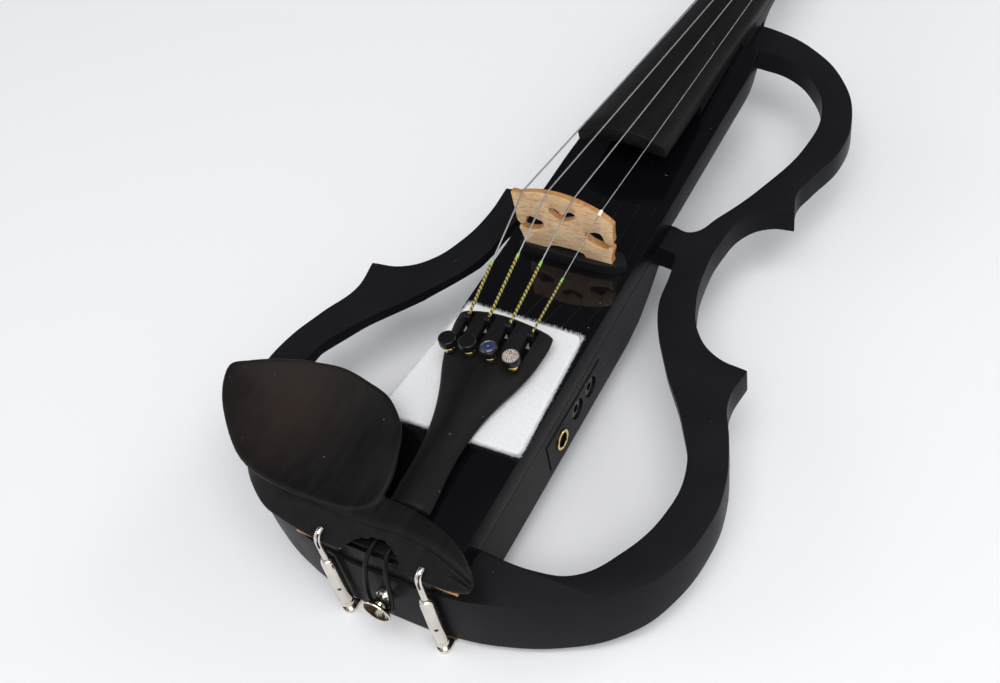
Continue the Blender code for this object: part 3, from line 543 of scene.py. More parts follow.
def flat(name, loops, low, high, look, along="Z", detail=16, curved=True, crease=35, **where):
    mesh = flat_mesh(name, loops, low, high, along, detail, curved)
    shade(mesh, crease)
    return piece(name, mesh, look, **where)


def cut(made, tools, operation="DIFFERENCE"):
    """Cuts a piece with meshes in violin coordinates, or joins them to it."""
    helpers = []
    for mesh in tools:
        helper = bpy.data.objects.new("tool", mesh)
        scene.collection.objects.link(helper)
        helper.matrix_world = DATUM
        change = made.modifiers.new("cut", "BOOLEAN")
        change.operation = operation
        change.object = helper
        helpers.append(helper)
    applied(made)
    for helper in helpers:
        bpy.data.objects.remove(helper, do_unlink=True)


def tool_block(low, high):
    shape = bmesh.new()
    add_block(shape, low, high)
    return mesh_of(shape, "tool")


def tool_rod(centre, axis, radius, half, steps=40):
    shape = bmesh.new()
    add_turned(shape, [(0, half), (radius, half), (radius, -half), (0, -half)], centre, axis, steps)
    return mesh_of(shape, "tool")


def tube(name, points, radius, look, sides=4, smooth=0, **where):
    """A wire through points; smooth is how many times its corners are cut."""
    path = [Vector(p) for p in points]
    for _ in range(smooth):
        cornered = [path[0]]
        for a, b in zip(path, path[1:]):
            cornered += [a.lerp(b, 0.25), a.lerp(b, 0.75)]
        path = cornered + [path[-1]]
    drawing = bpy.data.curves.new(name, "CURVE")
    drawing.dimensions = "3D"
    drawing.bevel_depth = radius * MM
    drawing.bevel_resolution = sides
    drawing.use_fill_caps = True
    spline = drawing.splines.new("POLY")
    spline.points.add(len(path) - 1)
    for point, place in zip(spline.points, path):
        point.co = (*(place * MM), 1)
    mesh = mesh_from_curve(drawing)
    shade(mesh, 50)
    return piece(name, mesh, look, **where)


def along(y, start, end, values):
    """Straight line between two values over a stretch of Y."""
    return values[0] + (values[1] - values[0]) * (y - start) / (end - start)


def read(table, x):
    """Reads a table of (x, value, ...) rows at x, straight between rows."""
    for near, far in zip(table, table[1:]):
        if x <= far[0]:
            t = (x - near[0]) / (far[0] - near[0])
            return [a + (b - a) * t for a, b in zip(near[1:], far[1:])]
    return list(table[-1][1:])


def read_smooth(table, x):
    """The same with a smooth curve through the rows."""
    i = max(0, min(len(table) - 2, sum(1 for row in table[1:] if row[0] < x)))
    rows = [table[max(0, i - 1)], table[i], table[i + 1], table[min(len(table) - 1, i + 2)]]
    span = rows[2][0] - rows[1][0]
    t = min(1, max(0, (x - rows[1][0]) / span))
    values = []
    for k in range(1, len(table[0])):
        p0, p1, p2, p3 = (row[k] for row in rows)
        start = (p2 - p0) / max(1e-6, rows[2][0] - rows[0][0]) * span
        end = (p3 - p1) / max(1e-6, rows[3][0] - rows[1][0]) * span
        values.append((2 * t ** 3 - 3 * t ** 2 + 1) * p1 + (t ** 3 - 2 * t ** 2 + t) * start
                      + (3 * t ** 2 - 2 * t ** 3) * p2 + (t ** 3 - t ** 2) * end)
    return values


def ease(value, low, high):
    """0 at low, 1 at high, with a smooth ease between."""
    t = min(1, max(0, (value - low) / (high - low)))
    return t * t * (3 - 2 * t)


# ---------------------------------------------------------------- frame, board and housing
LOWER_OUTER = [(26.3, 1.9), (45, 6.2), (63, 13.6), (83, 26.5), (95, 41.5), (101.7, 66), (100.6, 84),
               (94.5, 103), (87.4, 121), (88.8, 137, 1), (75, 139.6), (64.2, 148), (56.5, 163.7),
               (53, 182)]
LOWER_INNER = [(30.3, 188.2, 1), (37, 186.2), (39.4, 178), (43, 155), (57.3, 128.8), (75, 104),
               (84.6, 85), (85, 64), (77, 42.5), (66, 28.6), (53, 24.4), (26.3, 24.4, 1)]
UPPER_OUTER = [(53, 199), (57.5, 217), (66, 225), (76.3, 227.2, 1), (73.4, 239), (76, 250), (82, 272),
               (79.6, 296), (66.5, 321), (47, 338.5), (26, 348), (0, 351.6), (-16.5, 350.6, 1)]
UPPER_INNER = [(-16.5, 331, 1), (22, 331, 1), (38, 327.5), (54, 315.5), (65.5, 295), (66.5, 270),
               (57.5, 238), (46.5, 214), (38.6, 201.4), (30.3, 202.4, 1)]
EDGE_ROUND = 1.1


def mirrored(points):
    return [(-x, y, *corner) for x, y, *corner in reversed(points)]


# Y and height of the arms' underside
UNDERSIDE = [(-20, 3.6), (16, 3.6), (50, 12.5), (100, 18.8), (146, 23.3), (400, 23.3)]
INNER_EDGE = 5.0                # thickness of the lower arms along their inner edge
SLOPE_WIDTH = 13.0
# X and Y along the inner edge, and how much of the slope under it is there
SLOPE_ROUTE = [(53, 24.4, 0), (66, 28.6, 0.35), (77, 42.5, 0.7), (85, 64, 1), (84.6, 85, 1), (75, 104, 1),
               (57.3, 128.8, 1), (43, 155, 1), (39.4, 178, 1), (38.6, 184, 0)]


def inner_slope(side):
    """What the slope under an arm's inner edge takes away."""
    shape = bmesh.new()
    rings = []
    for i, (x, y, share) in enumerate(SLOPE_ROUTE):
        before, after = SLOPE_ROUTE[max(i - 1, 0)], SLOPE_ROUTE[min(i + 1, len(SLOPE_ROUTE) - 1)]
        run = Vector((after[0] - before[0], after[1] - before[1])).normalized()
        low = read(UNDERSIDE, y)[0]
        edge = low - 1 + (FRAME_TOP - INNER_EDGE - low + 1) * share
        fall = (edge - low + 1) / SLOPE_WIDTH
        beyond = read(UNDERSIDE, y - run.x * SLOPE_WIDTH)[0] - 1.5
        rings.append([Vector((side * (x + run.y * inside), y - run.x * inside, z)) for inside, z in
                      ((-2, edge + 2 * fall), (SLOPE_WIDTH, beyond), (SLOPE_WIDTH, -30), (-2, -30))])
    add_rings(shape, rings)
    return mesh_of(shape, "slope")


def body_frame():
    outer = ([(0, 0.4)] + LOWER_OUTER + UPPER_OUTER + UPPER_INNER + [(-30.3, 202.4, 1), (-53.2, 200.6, 1)]
             + mirrored(LOWER_OUTER))
    hole = LOWER_INNER + mirrored(LOWER_INNER)
    made = flat("body_frame", [outer, hole], -10, FRAME_TOP, SATIN, detail=10,
                replaces=("treble_frame", "bass_frame", "tail_block"))
    rise = [(y, read_smooth(UNDERSIDE, y)[0]) for y in [-20] + list(range(14, 147, 3))]
    below = flat_mesh("below", [rise + [(400, 23.3), (400, -40), (-20, -40)]], -130, 130, along="X",
                      curved=False)
    rounded(made, EDGE_ROUND, 3, 50)
    applied(made, 40)
    cut(made, [below, inner_slope(-1), inner_slope(1)])


body_frame()


def beam_half(y):
    """Half width of the top board, which narrows to the neck."""
    return BEAM_HALF - 6.0 * ease(y, 292, BEAM_END + 20)


def board_outline():
    """The top board from above: it narrows to the neck, and sooner on the bass side."""
    narrowing = [(beam_half(y), y) for y in range(290, int(BEAM_END) + 1, 4)]
    bass = [(-BEAM_HALF + 7.5 * ease(y, 215, 330), y) for y in [BEAM_END] + list(range(312, 214, -8))]
    tail = [(-BEAM_HALF, 3.4), (-27, 2.6), (-18, 1.8), (0, 1.6), (18, 1.8), (27, 2.6), (BEAM_HALF, 3.4)]
    return tail + narrowing + bass


top_board = flat("gloss_board", [board_outline()], FRAME_TOP + 0.3, BEAM_TOP, GLOSS, curved=False,
                 replaces=("top_board",))
rounded(top_board, 0.8, 4, 60)
applied(top_board, 30)


def dress(node, look, width):
    """Gives a CAD node its material, and rounds its edges where width isn't 0."""
    made = nodes[node]
    made.data.materials.clear()
    made.data.materials.append(look.material)
    if width:
        weld = made.modifiers.new("weld", "WELD")
        weld.merge_threshold = 0.00001
        rounded(made, width, 2, 35)


for cad_node, look, width in (
        ("electronics_housing", SATIN, 0.5), ("control_plate", PLASTIC, 0.3),
        ("preamp_board", BOARD_GREEN, 0), ("battery", BATTERY, 0.8), ("battery_door", PLASTIC, 0.3),
        ("jack_panel", SATIN, 0.25),
        ("power_switch", PLASTIC, 0.3), ("plate_screw_rear", DARK_METAL, 0),
        ("plate_screw_front", DARK_METAL, 0), ("volume_knob", PLASTIC, 0), ("tone_knob", PLASTIC, 0),
        ("headphone_jack", DARK_METAL, 0), ("aux_jack", DARK_METAL, 0), ("saddle", EBONY, 0.5),
        ("clamp_foot", NICKEL, 0.4), ("clamp_foot_cork", CORK, 0), ("chin_rest_cork_bass", CORK, 0.2),
        ("chin_rest_cork_treble", CORK, 0.2)):
    dress(cad_node, look, width)
turned("output_ring", [(4.4, -0.6), (4.5, 0.35), (4.3, 0.6), (3.5, 0.6), (3.3, 0.4), (3.3, -0.6),
                       (4.4, -0.6)], OUTPUT_JACK, "X", BRASS, 48, replaces=("output_jack",))
turned("output_bore", [(4.4, -20), (4.4, -0.6), (3.3, -0.6), (3.3, -14), (0, -14), (0, -20)],
       OUTPUT_JACK, "X", DARK_METAL, 40)


# ---------------------------------------------------------------- fingerboard, neck and head
def board_half(y):
    return along(y, BOARD_START, NUT_Y, BOARD_HALF)


def board_edge(y):
    """Height of the fingerboard's upper edge."""
    return along(y, BOARD_START, NUT_Y, BOARD_EDGE)


def board_ring(y, hollow, inset=0.0):
    """One cross-section of the fingerboard: arched above, flat or hollow below, corners eased."""
    half = board_half(y) - inset
    edge = board_edge(y)
    crown = math.sqrt(BOARD_RADIUS ** 2 - board_half(y) ** 2)
    upper = []
    for i in range(25):
        t = i / 12 - 1
        x = (half - 0.45) * t
        upper.append((x, y, edge + math.sqrt(BOARD_RADIUS ** 2 - x * x) - crown - inset))
    sides = [(half - 0.1, y, edge - 0.35 - inset), (half, y, edge - 1.0 - inset)]
    low = edge - BOARD_THICK + inset
    lower = [(half - 0.1, y, low + 0.5), (half - 0.5, y, low)]
    for i in range(19):
        t = 1 - i / 9
        lower.append(((half - 2.2) * t, y, low + hollow * (1 - t * t)))
    back = [(-x, y, z) for x, y, z in reversed(sides + lower[:2])]
    return upper + sides + lower + back


rings = [board_ring(BOARD_START, 3.4, 0.5), board_ring(BOARD_START + 0.15, 3.5, 0.2),
         board_ring(BOARD_START + 0.5, 3.6)]
rings += [board_ring(y, 3.6) for y in (230, 245, 259)] + [board_ring(261.6, 0.0)]
rings += [board_ring(y, 0.0) for y in range(280, 481, 20)] + [board_ring(NUT_Y, 0.0)]
loft("ebony_fingerboard", rings, EBONY, 40, replaces=("fingerboard",))

# Y, lower face, how round the underside is (0 square, 1 round)
NECK = [(262.0, BEAM_TOP + 0.1, 0.15), (318.3, BEAM_TOP + 0.1, 0.15), (318.4, FRAME_TOP + 0.1, 0.15),
        (352.0, FRAME_TOP + 0.1, 0.15), (352.1, 24.6, 0.5), (354.5, 25.2, 0.6), (358, 26.6, 0.75),
        (364, 28.4, 0.9), (372, 28.9, 1), (386, 27.6, 1), (400, 25.7, 1), (420, 23.2, 1), (440, 20.6, 1),
        (460, 18.1, 1), (476, 16.1, 1), (482, 14.9, 0.95), (486, 13.6, 0.85), (490, 12.0, 0.7),
        (494.0, 10.2, 0.5)]


def neck_ring(y, low, roundness):
    """One cross-section of the neck: a flat top and an underside from square to round."""
    half = board_half(min(y, NUT_Y)) - 0.3
    top = board_edge(min(y, NUT_Y)) - BOARD_THICK - 0.2
    power = 0.18 + 0.62 * roundness
    ring = [(half, y, top)]
    for i in range(1, 24):
        turn = math.pi * i / 24
        across = math.copysign(abs(math.cos(turn)) ** power, math.cos(turn))
        ring.append((half * across, y, top - (top - low) * math.sin(turn) ** power))
    return ring + [(-half, y, top)]


# Y, height of the rim, lower face, half width
PEGBOX = [(486.0, 25.0, 13.2, 11.9), (494.3, 25.4, 9.4, 12.0), (494.5, 29.4, 9.3, 12.0),
          (503, 27.3, 5.8, 11.9), (515, 24.3, 1.2, 11.0), (529, 21.0, -2.8, 9.9), (541, 18.4, -5.4, 8.8),
          (552, 16.4, -7.6, 7.6), (563, 14.6, -9.4, 6.6)]


def peg_axis(y):
    """Height of a peg's axis."""
    return read([row[:2] for row in PEGBOX], y)[0] - PEG_DROP


def pegbox_ring(y, high, low, half):
    """One cross-section of the pegbox: rounded rims, and two flutes along its back."""
    right = [(half - 0.8, y, high), (half - 0.2, y, high - 0.3), (half, y, high - 1.0), (half, y, high - 4),
             (half, y, (high + low) / 2), (half, y, low + 2.6), (half - 0.5, y, low + 1.2),
             (half - 1.5, y, low + 0.5), (half * 0.72, y, low + 0.9), (half * 0.52, y, low + 1.3),
             (half * 0.3, y, low + 1.0), (half * 0.12, y, low + 0.25), (0.0, y, low)]
    return right + [(-x, y, z) for x, y, z in reversed(right[:-1])]


def head():
    """Neck and hollow pegbox."""
    loft("neck_body", [neck_ring(*row) for row in NECK], SATIN, 40, replaces=("neck_and_scroll",))
    fine = []
    for y in [486, 490, 494.3, 494.5] + list(range(498, 564, 3)):
        if y < 494.4:
            fine.append((y, *read(PEGBOX, y)))
        else:
            fine.append((y, *read_smooth(PEGBOX[2:], y)))
    box_part = loft("pegbox_body", [pegbox_ring(*row) for row in fine], SATIN, 40)
    shape = bmesh.new()
    rows = [(494.4, 7.7, 19.0)]
    for y in range(500, 552, 5):
        _, low, half = read_smooth(PEGBOX[2:], y)
        rows.append((y, half - 4.3, low + 6))
    rows.append((552, 4.0, 3.5))
    add_rings(shape, [[Vector((half, y, 60)), Vector((half, y, low + 1)), Vector((half - 1, y, low)),
                       Vector((1 - half, y, low)), Vector((-half, y, low + 1)), Vector((-half, y, 60))]
                      for y, half, low in rows])
    cut(box_part, [mesh_of(shape, "cavity")])


# Shares of the band's half width, and how far the outside dips there
FLUTES = ((-1, 0.9), (-0.93, 0.2), (-0.84, 0), (-0.6, 0.7), (-0.42, 0.95), (-0.22, 0.7), (0, 0), (0.22, 0.7),
          (0.42, 0.95), (0.6, 0.7), (0.84, 0), (0.93, 0.2), (1, 0.9))


def spiral():
    """The scroll: a band wound twice into its eye, wider at each turn, ridged between two flutes."""
    shape = bmesh.new()
    turns = 2.15
    steps = 118
    start = math.radians(232)
    rings = []
    for i in range(steps + 1):
        t = i / steps
        angle = start - math.tau * turns * t
        outer = SCROLL_RADIUS * (1 - t) ** 0.75 * 0.80 + 3.9
        outer = min(outer, SCROLL_RADIUS) if i else outer
        depth = max(2.6, outer * 0.46)
        half = 6.4 + 13.6 * t ** 1.25
        ring = []
        for place, dip in FLUTES:
            radius = outer - dip * (1 - 0.6 * t)
            ring.append(Vector((half * place, SCROLL_Y + radius * math.cos(angle),
                                SCROLL_Z + radius * math.sin(angle))))
        inner = outer - depth
        for place in (1, 0.5, -0.5, -1):
            ring.append(Vector((half * place * 0.97, SCROLL_Y + inner * math.cos(angle),
                                SCROLL_Z + inner * math.sin(angle))))
        rings.append(ring)
    add_rings(shape, rings)
    add_turned(shape, [(0, 20.4), (2.6, 20.3), (3.6, 19.6), (4.2, 18), (4.2, -18), (3.6, -19.6), (2.6, -20.3),
                       (0, -20.4)], (0, SCROLL_Y, SCROLL_Z), "X", 40)
    add_turned(shape, [(0, 5.6), (SCROLL_RADIUS - 1.6, 5.6), (SCROLL_RADIUS - 1.6, -5.6), (0, -5.6)],
               (0, SCROLL_Y, SCROLL_Z), "X", 56)
    joined("scroll", shape, SATIN, 40)


head()
spiral()
nut = flat("ebony_nut", [[(NUT_Y + 0.2, 26.0), (494.2, 26.0), (494.2, 31.6), (493.2, 33.0), (491.6, 33.7),
                          (490.2, 33.8), (489.0, 33.6), (NUT_Y + 0.2, 33.0)]], -12, 12, EBONY, along="X",
           curved=False, replaces=("nut",))
rounded(nut, 0.5, 3, 50)
applied(nut, 30)


def peg(string, side, y):
    """A tapered peg with a collar and a flat thumb piece."""
    wall = read(PEGBOX, y)[2]
    axis = peg_axis(y)
    shape = bmesh.new()
    rows = [(0, wall + 7.2), (2.9, wall + 6.8), (2.7, wall + 5.6), (3.5, wall + 4.9), (4.9, wall + 4.5),
            (5.15, wall + 3.8), (4.9, wall + 3.2), (4.0, wall + 2.8), (4.6, wall + 2.3), (4.2, wall + 1.6),
            (3.7, wall + 1.0), (3.5, wall - 1), (3.1, -wall - 0.6), (2.7, -wall - 1.5), (0, -wall - 1.7)]
    add_turned(shape, rows, (0, y, axis), "X", 32)
    head_rows = ((5.4, 2.9, 2.9), (7, 3.0, 2.9), (8.6, 4.4, 3.0), (10.4, 7.4, 3.1), (12.6, 9.5, 3.1),
                 (15, 10.1, 2.9), (18, 9.8, 2.6), (21, 8.9, 2.5), (23.6, 7.2, 2.5), (25.2, 5.0, 2.2),
                 (26.2, 2.2, 1.4))
    rings = []
    for out, tall, thick in head_rows:
        ring = []
        for i in range(28):
            turn = math.tau * i / 28
            c, s = math.cos(turn), math.sin(turn)
            waist = 1 - 0.28 * ease(tall, 5, 10) * (1 - abs(s) ** 2)
            ring.append(Vector((wall + out, y + thick * waist * math.copysign(abs(c) ** 0.8, c),
                                axis + tall * math.copysign(abs(s) ** 0.9, s))))
        rings.append(ring)
    add_rings(shape, rings)
    add_turned(shape, [(0, wall + 26.9), (1.0, wall + 26.7), (1.6, wall + 26), (1.2, wall + 25.2),
                       (0, wall + 25)], (0, y, axis), "X", 20)
    if side < 0:
        bmesh.ops.scale(shape, vec=(-1, 1, 1), verts=shape.verts)
    joined(f"ebony_peg_{string}", shape, EBONY, 40, body=f"peg_{string}", replaces=(f"peg_{string}",))


for string, (side, peg_y) in PEGS.items():
    peg(string, side, peg_y)


# ---------------------------------------------------------------- bridge, pickup and strings
def string_height(x):
    """Height of the strings over the bridge, x from its middle: an arch, higher on the bass side."""
    return STRING_AT_BRIDGE + math.sqrt(BOARD_RADIUS ** 2 - x ** 2) - BOARD_RADIUS - x / 17


def bridge():
    """Straight-sided blank with a heart and two eyes slit to the sides, thinner towards the strings."""
    crest = [(79.2, -22.9, 1), (79.7, -21.6)] + [(string_height(x) - 0.8, x) for x in range(-19, 20, 2)]
    crest += [(74.6, 22.4), (74.0, 22.9, 1)]
    half = [(68, 22.3), (63.2, 21.9), (62.4, 21.2), (60.9, 21.0), (60.0, 21.7), (57, 21.2), (54, 20.5),
            (FOOT, 20.6, 1), (FOOT, 8.6, 1), (52.8, 8.0), (53.7, 5.5), (54.0, 0)]
    outline = crest + half + [(z, -x, *corner) for z, x, *corner in reversed(half[:-1])]
    lobe = [(70.4, -2.6), (72.0, -5.2), (73.8, -6.1), (75.3, -5.0), (75.2, -3.0), (73.8, -1.2)]
    heart = [(69.3, 0, 1)] + lobe + [(72.5, 0, 1)] + [(z, -x) for z, x in reversed(lobe)]
    holes = [[(z, x + BRIDGE_X, *corner) for z, x, *corner in heart]]
    for side in (-1, 1):
        eye = [(59.8, 19.2), (59.9, 16.4), (61.0, 12.6), (62.6, 10.4), (64.4, 9.5), (66.1, 10.2),
               (66.8, 12.4), (67.6, 14.6), (67.2, 16.8), (65.4, 17.8), (63.2, 18.4), (62.0, 19.8),
               (60.8, 20.2)]
        holes.append([(z, side * x + BRIDGE_X) for z, x in eye])
    outline = [(z, x + BRIDGE_X, *corner) for z, x, *corner in outline]
    made = flat("maple_bridge", [outline] + holes, -1, 1, MAPLE, along="Y", detail=6, replaces=("bridge",))
    for vertex in made.data.vertices:
        z = vertex.co.z / MM
        share = ease(z, FOOT, 84)
        front, back = 1.75 - 0.95 * share, -1.75 + 0.35 * share
        vertex.co.y = (BRIDGE_Y + (front if vertex.co.y > 0 else back)) * MM
    slits = []
    for side in (-1, 1):
        middle = side * 23.5 + BRIDGE_X
        slits.append(tool_block((middle - 4.2, BRIDGE_Y - 4, 61.2), (middle + 4.2, BRIDGE_Y + 4, 62.0)))
    cut(made, slits)
    rounded(made, 0.2, 2, 50)
    applied(made, 30)


bridge()

bar = flat("pickup", [[(-21, 156.8, 1), (20.5, 156.6), (25.0, 158.2), (26.7, 161.4), (25.0, 164.6),
                       (20.5, 166.2), (-21, 166, 1)]], BEAM_TOP + 0.1, FOOT - 0.1, PLASTIC,
           replaces=("pickup_bar",))
rounded(bar, 1.0, 4, 50)
applied(bar, 30)

# Y where the silk at each string's tail ends
THREAD_END = {"g": 129.4, "d": 133.2, "a": 132.7, "e": 130.4}


def strings():
    """Wires from tuner to peg, with silk at both ends and round the pegs, and the E string's sleeve."""
    for i, string in enumerate(STRINGS):
        radius = STRING_RADIUS[i]
        drop = 0 if string in "da" else -1.8
        over_bridge = string_height(STRING_X[i] - BRIDGE_X) - 0.8 + radius * 0.5
        over_nut = NUT_TOP + 0.1 + radius
        peg_y = PEGS[string][1]
        start = Vector((TUNER_X[i], 107.3, 62.2 + drop))
        crest = Vector((STRING_X[i], BRIDGE_Y - 1.2, over_bridge))
        end = Vector((NUT_X[i] * 0.4, peg_y, peg_axis(peg_y) + 3.3 + radius))
        tube(f"wire_{string}", [start, crest, (STRING_X[i], BRIDGE_Y + 0.4, over_bridge),
                                (NUT_X[i], NUT_Y + 1.2, over_nut), (NUT_X[i], 492.4, over_nut), end],
             radius, STEEL, 3, replaces=(f"string_{string}",))
        share = (THREAD_END[string] - start.y) / (crest.y - start.y)
        tip = start.lerp(crest, share)
        shoulder = start.lerp(crest, share - 0.04)
        tube(f"thread_{string}", [start + Vector((0, -1.5, -0.3)), shoulder], radius + 0.28, SILK, 3)
        tube(f"thread_tip_{string}", [shoulder, tip], radius + 0.26, SILK_TIP, 3)
        tube(f"thread_neck_{string}", [(NUT_X[i], 492.0, over_nut), end], radius + 0.15, SILK, 3)
        wound = []
        for step in range(121):
            turn = math.tau * step / 24
            wound.append((end.x + math.copysign(1, end.x) * step * 0.018,
                          peg_y + math.sin(turn) * (3.45 + radius),
                          peg_axis(peg_y) + math.cos(turn) * (3.45 + radius)))
        tube(f"winding_{string}", wound, radius + 0.12, SILK, 2, body=f"peg_{string}")
    e_over = string_height(STRING_X[3] - BRIDGE_X) - 0.8 + 0.1
    crest = Vector((STRING_X[3], BRIDGE_Y, e_over))
    tube("e_string_sleeve", [crest + Vector((-0.05, -1.5, -0.5)), crest + Vector((0, -0.7, 0)),
                             crest + Vector((0, 0.9, -0.05))], 0.72, SLEEVE, 3)


strings()


# ---------------------------------------------------------------- tailpiece and fine tuners
# Y, half width, height of the edges, rise of the middle
TAILPIECE = [(22.4, 8.6, 49.6, 2.6), (30, 8.5, 50.2, 2.9), (40, 8.0, 50.9, 3.0), (50, 8.2, 51.6, 3.1),
             (60, 9.4, 52.3, 3.3), (68, 11.2, 52.9, 3.6), (76, 13.8, 53.5, 3.9), (84, 17.0, 54.1, 4.2),
             (92.6, 19.6, 54.7, 4.4), (100, 20.8, 55.2, 4.5), (107, 21.4, 55.7, 4.5), (111, 20.9, 55.9, 4.4)]


def tailpiece_middle(y):
    """X of its middle line, which runs a little askew."""
    return along(y, 22.4, 111, (2.6, -1.8))


def tailpiece_top(x, y):
    """Height of its arched face."""
    half, edge, rise = read_smooth(TAILPIECE, y)
    return edge + rise * (1 - ((x - tailpiece_middle(y)) / half) ** 2)


def tailpiece_ring(y, inset=0.0):
    """One cross-section: arched above, hollow below, its edges eased."""
    half, edge, rise = read_smooth(TAILPIECE, y)
    half -= inset
    middle = tailpiece_middle(y)
    ring = []
    for i in range(33):
        t = i / 16 - 1
        ease_edge = 1.1 * max(0, abs(t) - 0.93) / 0.07
        ring.append((middle + half * t, y, edge + rise * (1 - t * t) - ease_edge * 0.6 - inset * 0.6))
    for i in range(17):
        t = 1 - i / 8
        ring.append((middle + (half - 0.8) * t, y, edge - 2.8 + (rise - 0.2) * (1 - t * t) + inset * 0.6))
    return ring


def tailpiece():
    """The tailpiece, with a keyhole slot for each string and a hole for each tuner screw."""
    ys = [22.4, 22.6, 23.2] + list(range(25, 110, 3)) + [109.8, 110.6, 111]
    rings = [tailpiece_ring(y, max(0, 1.0 - (y - 22.4) * 1.6, (y - 109.8) * 0.8)) for y in ys]
    made = loft("ebony_tailpiece", rings, EBONY, 40, replaces=("tailpiece",))
    tools = []
    for x in TUNER_X:
        tools.append(tool_block((x - 1.5, 94.6, 40), (x + 1.5, 109.3, 70)))
        tools.append(tool_rod((x, 94.6, 55), "Z", 1.5, 20, 24))
        tools.append(tool_rod((x, TUNER_Y, 55), "Z", 1.5, 20, 24))
    cut(made, tools)
    rounded(made, 0.25, 2, 60)
    applied(made, 40)


tailpiece()


def nut_base(x):
    """Underside of the brass nut that stands on the tailpiece at x."""
    return max(tailpiece_top(x - 2.4, TUNER_Y), tailpiece_top(x + 2.4, TUNER_Y)) + 0.35


def tuner(i, string):
    """A fine tuner: brass nut, screw with a round head, and the lever that holds the string."""
    x = TUNER_X[i]
    top = tailpiece_top(x, TUNER_Y)
    base = nut_base(x)
    under = top - 3.3
    turned(f"brass_nut_{string}", [(1.5, 2.4), (2.0, 2.4), (2.35, 2.0), (2.4, 0.4), (2.2, 0), (1.5, 0),
                                   (1.5, 2.4)], (x, TUNER_Y, base), "Z", BRASS, 24,
           replaces=(f"tuner_nut_{string}",))
    seat = base + KNOB_SEAT
    profile = [(0, KNOB_HEIGHT), (2.9, 4.15), (3.3, 4.1), (3.65, 3.8), (3.7, 3.4), (3.7, 1.1), (3.6, 0.7),
               (3.1, 0.2), (1.6, 0), (1.25, -0.4), (1.2, under - seat), (0, under - seat)]
    turned(f"screw_{string}", profile, (x, TUNER_Y, seat), "Z", DARK_METAL, 32,
           body=f"tuner_screw_{string}", replaces=(f"tuner_screw_{string}",))
    bar_top = min(under, tailpiece_top(x, 107) - 3.3) - 1.5
    hook = 63.2 if string in "da" else 61.4
    lever = [(87.5, bar_top - 1.6), (105.2, bar_top - 1.6), (106.6, bar_top + 0.4), (106.6, hook - 1.2),
             (106, hook - 0.2), (105, hook), (104.2, hook - 0.8), (104.2, bar_top + 1), (103.2, bar_top),
             (87.5, bar_top)]
    made = flat(f"lever_{string}", [lever], x - 1.2, x + 1.2, DARK_METAL, along="X", curved=False,
                body=f"tuner_lever_{string}", replaces=(f"tuner_lever_{string}",))
    rounded(made, 0.3, 2, 50)
    applied(made, 30)


for index, string in enumerate(STRINGS):
    tuner(index, string)


def inlays():
    """A ringed blue glass cabochon on the third knob and a cluster of foil stones on the fourth."""
    glass, stone = (Vector((x, TUNER_Y, nut_base(x) + KNOB_SEAT + KNOB_HEIGHT)) for x in TUNER_X[2:])
    turned("glass_inlay", [(2.7, -0.2), (2.7, 0.12), (2.2, 0.42), (1.2, 0.62), (0, 0.68), (0, -0.2)],
           glass, "Z", GLASS_BLUE, 40, body="tuner_screw_a")
    turned("glass_ring", [(3.2, 0), (3.15, 0.22), (2.85, 0.26), (2.75, 0.1), (2.75, -0.1), (3.2, 0)],
           glass, "Z", NICKEL, 40, body="tuner_screw_a")
    turned("glass_dot", [(0, 0.9), (0.3, 0.86), (0.42, 0.7), (0.42, 0.4), (0, 0.4)],
           glass, "Z", NICKEL, 20, body="tuner_screw_a")
    shape = bmesh.new()
    add_turned(shape, [(0, 0.15), (3.3, 0.15), (3.4, 0), (3.4, -0.3), (0, -0.3)], stone, "Z", 32)
    random.seed(9)
    for ring, count in ((0, 1), (0.75, 5), (1.45, 10), (2.15, 15), (2.8, 20)):
        for k in range(count):
            turn = math.tau * (k + random.random() * 0.4) / count
            centre = stone + Vector((ring * math.cos(turn), ring * math.sin(turn), 0.2))
            made = bmesh.ops.create_icosphere(shape, subdivisions=1, radius=0.36)["verts"]
            bmesh.ops.rotate(shape, verts=made, matrix=Matrix.Rotation(random.random() * 3, 3, "Z"))
            bmesh.ops.translate(shape, verts=made, vec=centre)
    joined("stone_inlay", shape, GEM, 5, body="tuner_screw_e")


inlays()


def slot_shade_plates():
    """Thin black plates under the tailpiece that close the slots from below: painted shade for the dark space
    seen through the slots.
    """
    for i, string in enumerate(STRINGS):
        x = TUNER_X[i]
        shape = bmesh.new()
        for near, far in ((92.8, 103.7), (107.2, 110.6)):
            low = min(tailpiece_top(x + off, y) for off in (-3.8, 3.0) for y in (near, far)) - 3.25
            # Painted shade: a black sheet where the slots show only shadow.
            add_block(shape, (x - 3.8, near, low - 0.25), (x + 3.0, far, low))
        joined(f"painted_shade_plate_{string}", shape, DARK_METAL)


slot_shade_plates()


# ---------------------------------------------------------------- tail: button, tailgut
turned("button", [(0, 0.4), (3.5, 0.4), (3.9, 0), (4.0, -1.0), (3.8, -2.0), (3.2, -2.6), (3.0, -3.4),
                  (3.1, -4.6), (3.7, -5.6), (5.0, -6.9), (6.1, -7.9), (6.5, -8.4), (6.4, -8.75), (6.0, -8.8),
                  (5.5, -8.55), (4.6, -7.3), (2.8, -5.0), (0, -3.9)], (0, 0, BUTTON_Z), "Y", NICKEL, 64,
       replaces=("end_button",))
# The mouth's brown and dark patches are a painted reflection.
turned("button_mouth", [(5.4, -8.5), (4.55, -7.35), (2.75, -5.1), (0, -4.0), (0, -4.1), (2.75, -5.25),
                        (4.55, -7.5), (5.4, -8.5)], (0, 0, BUTTON_Z), "Y", MOUTH_METAL, 64)
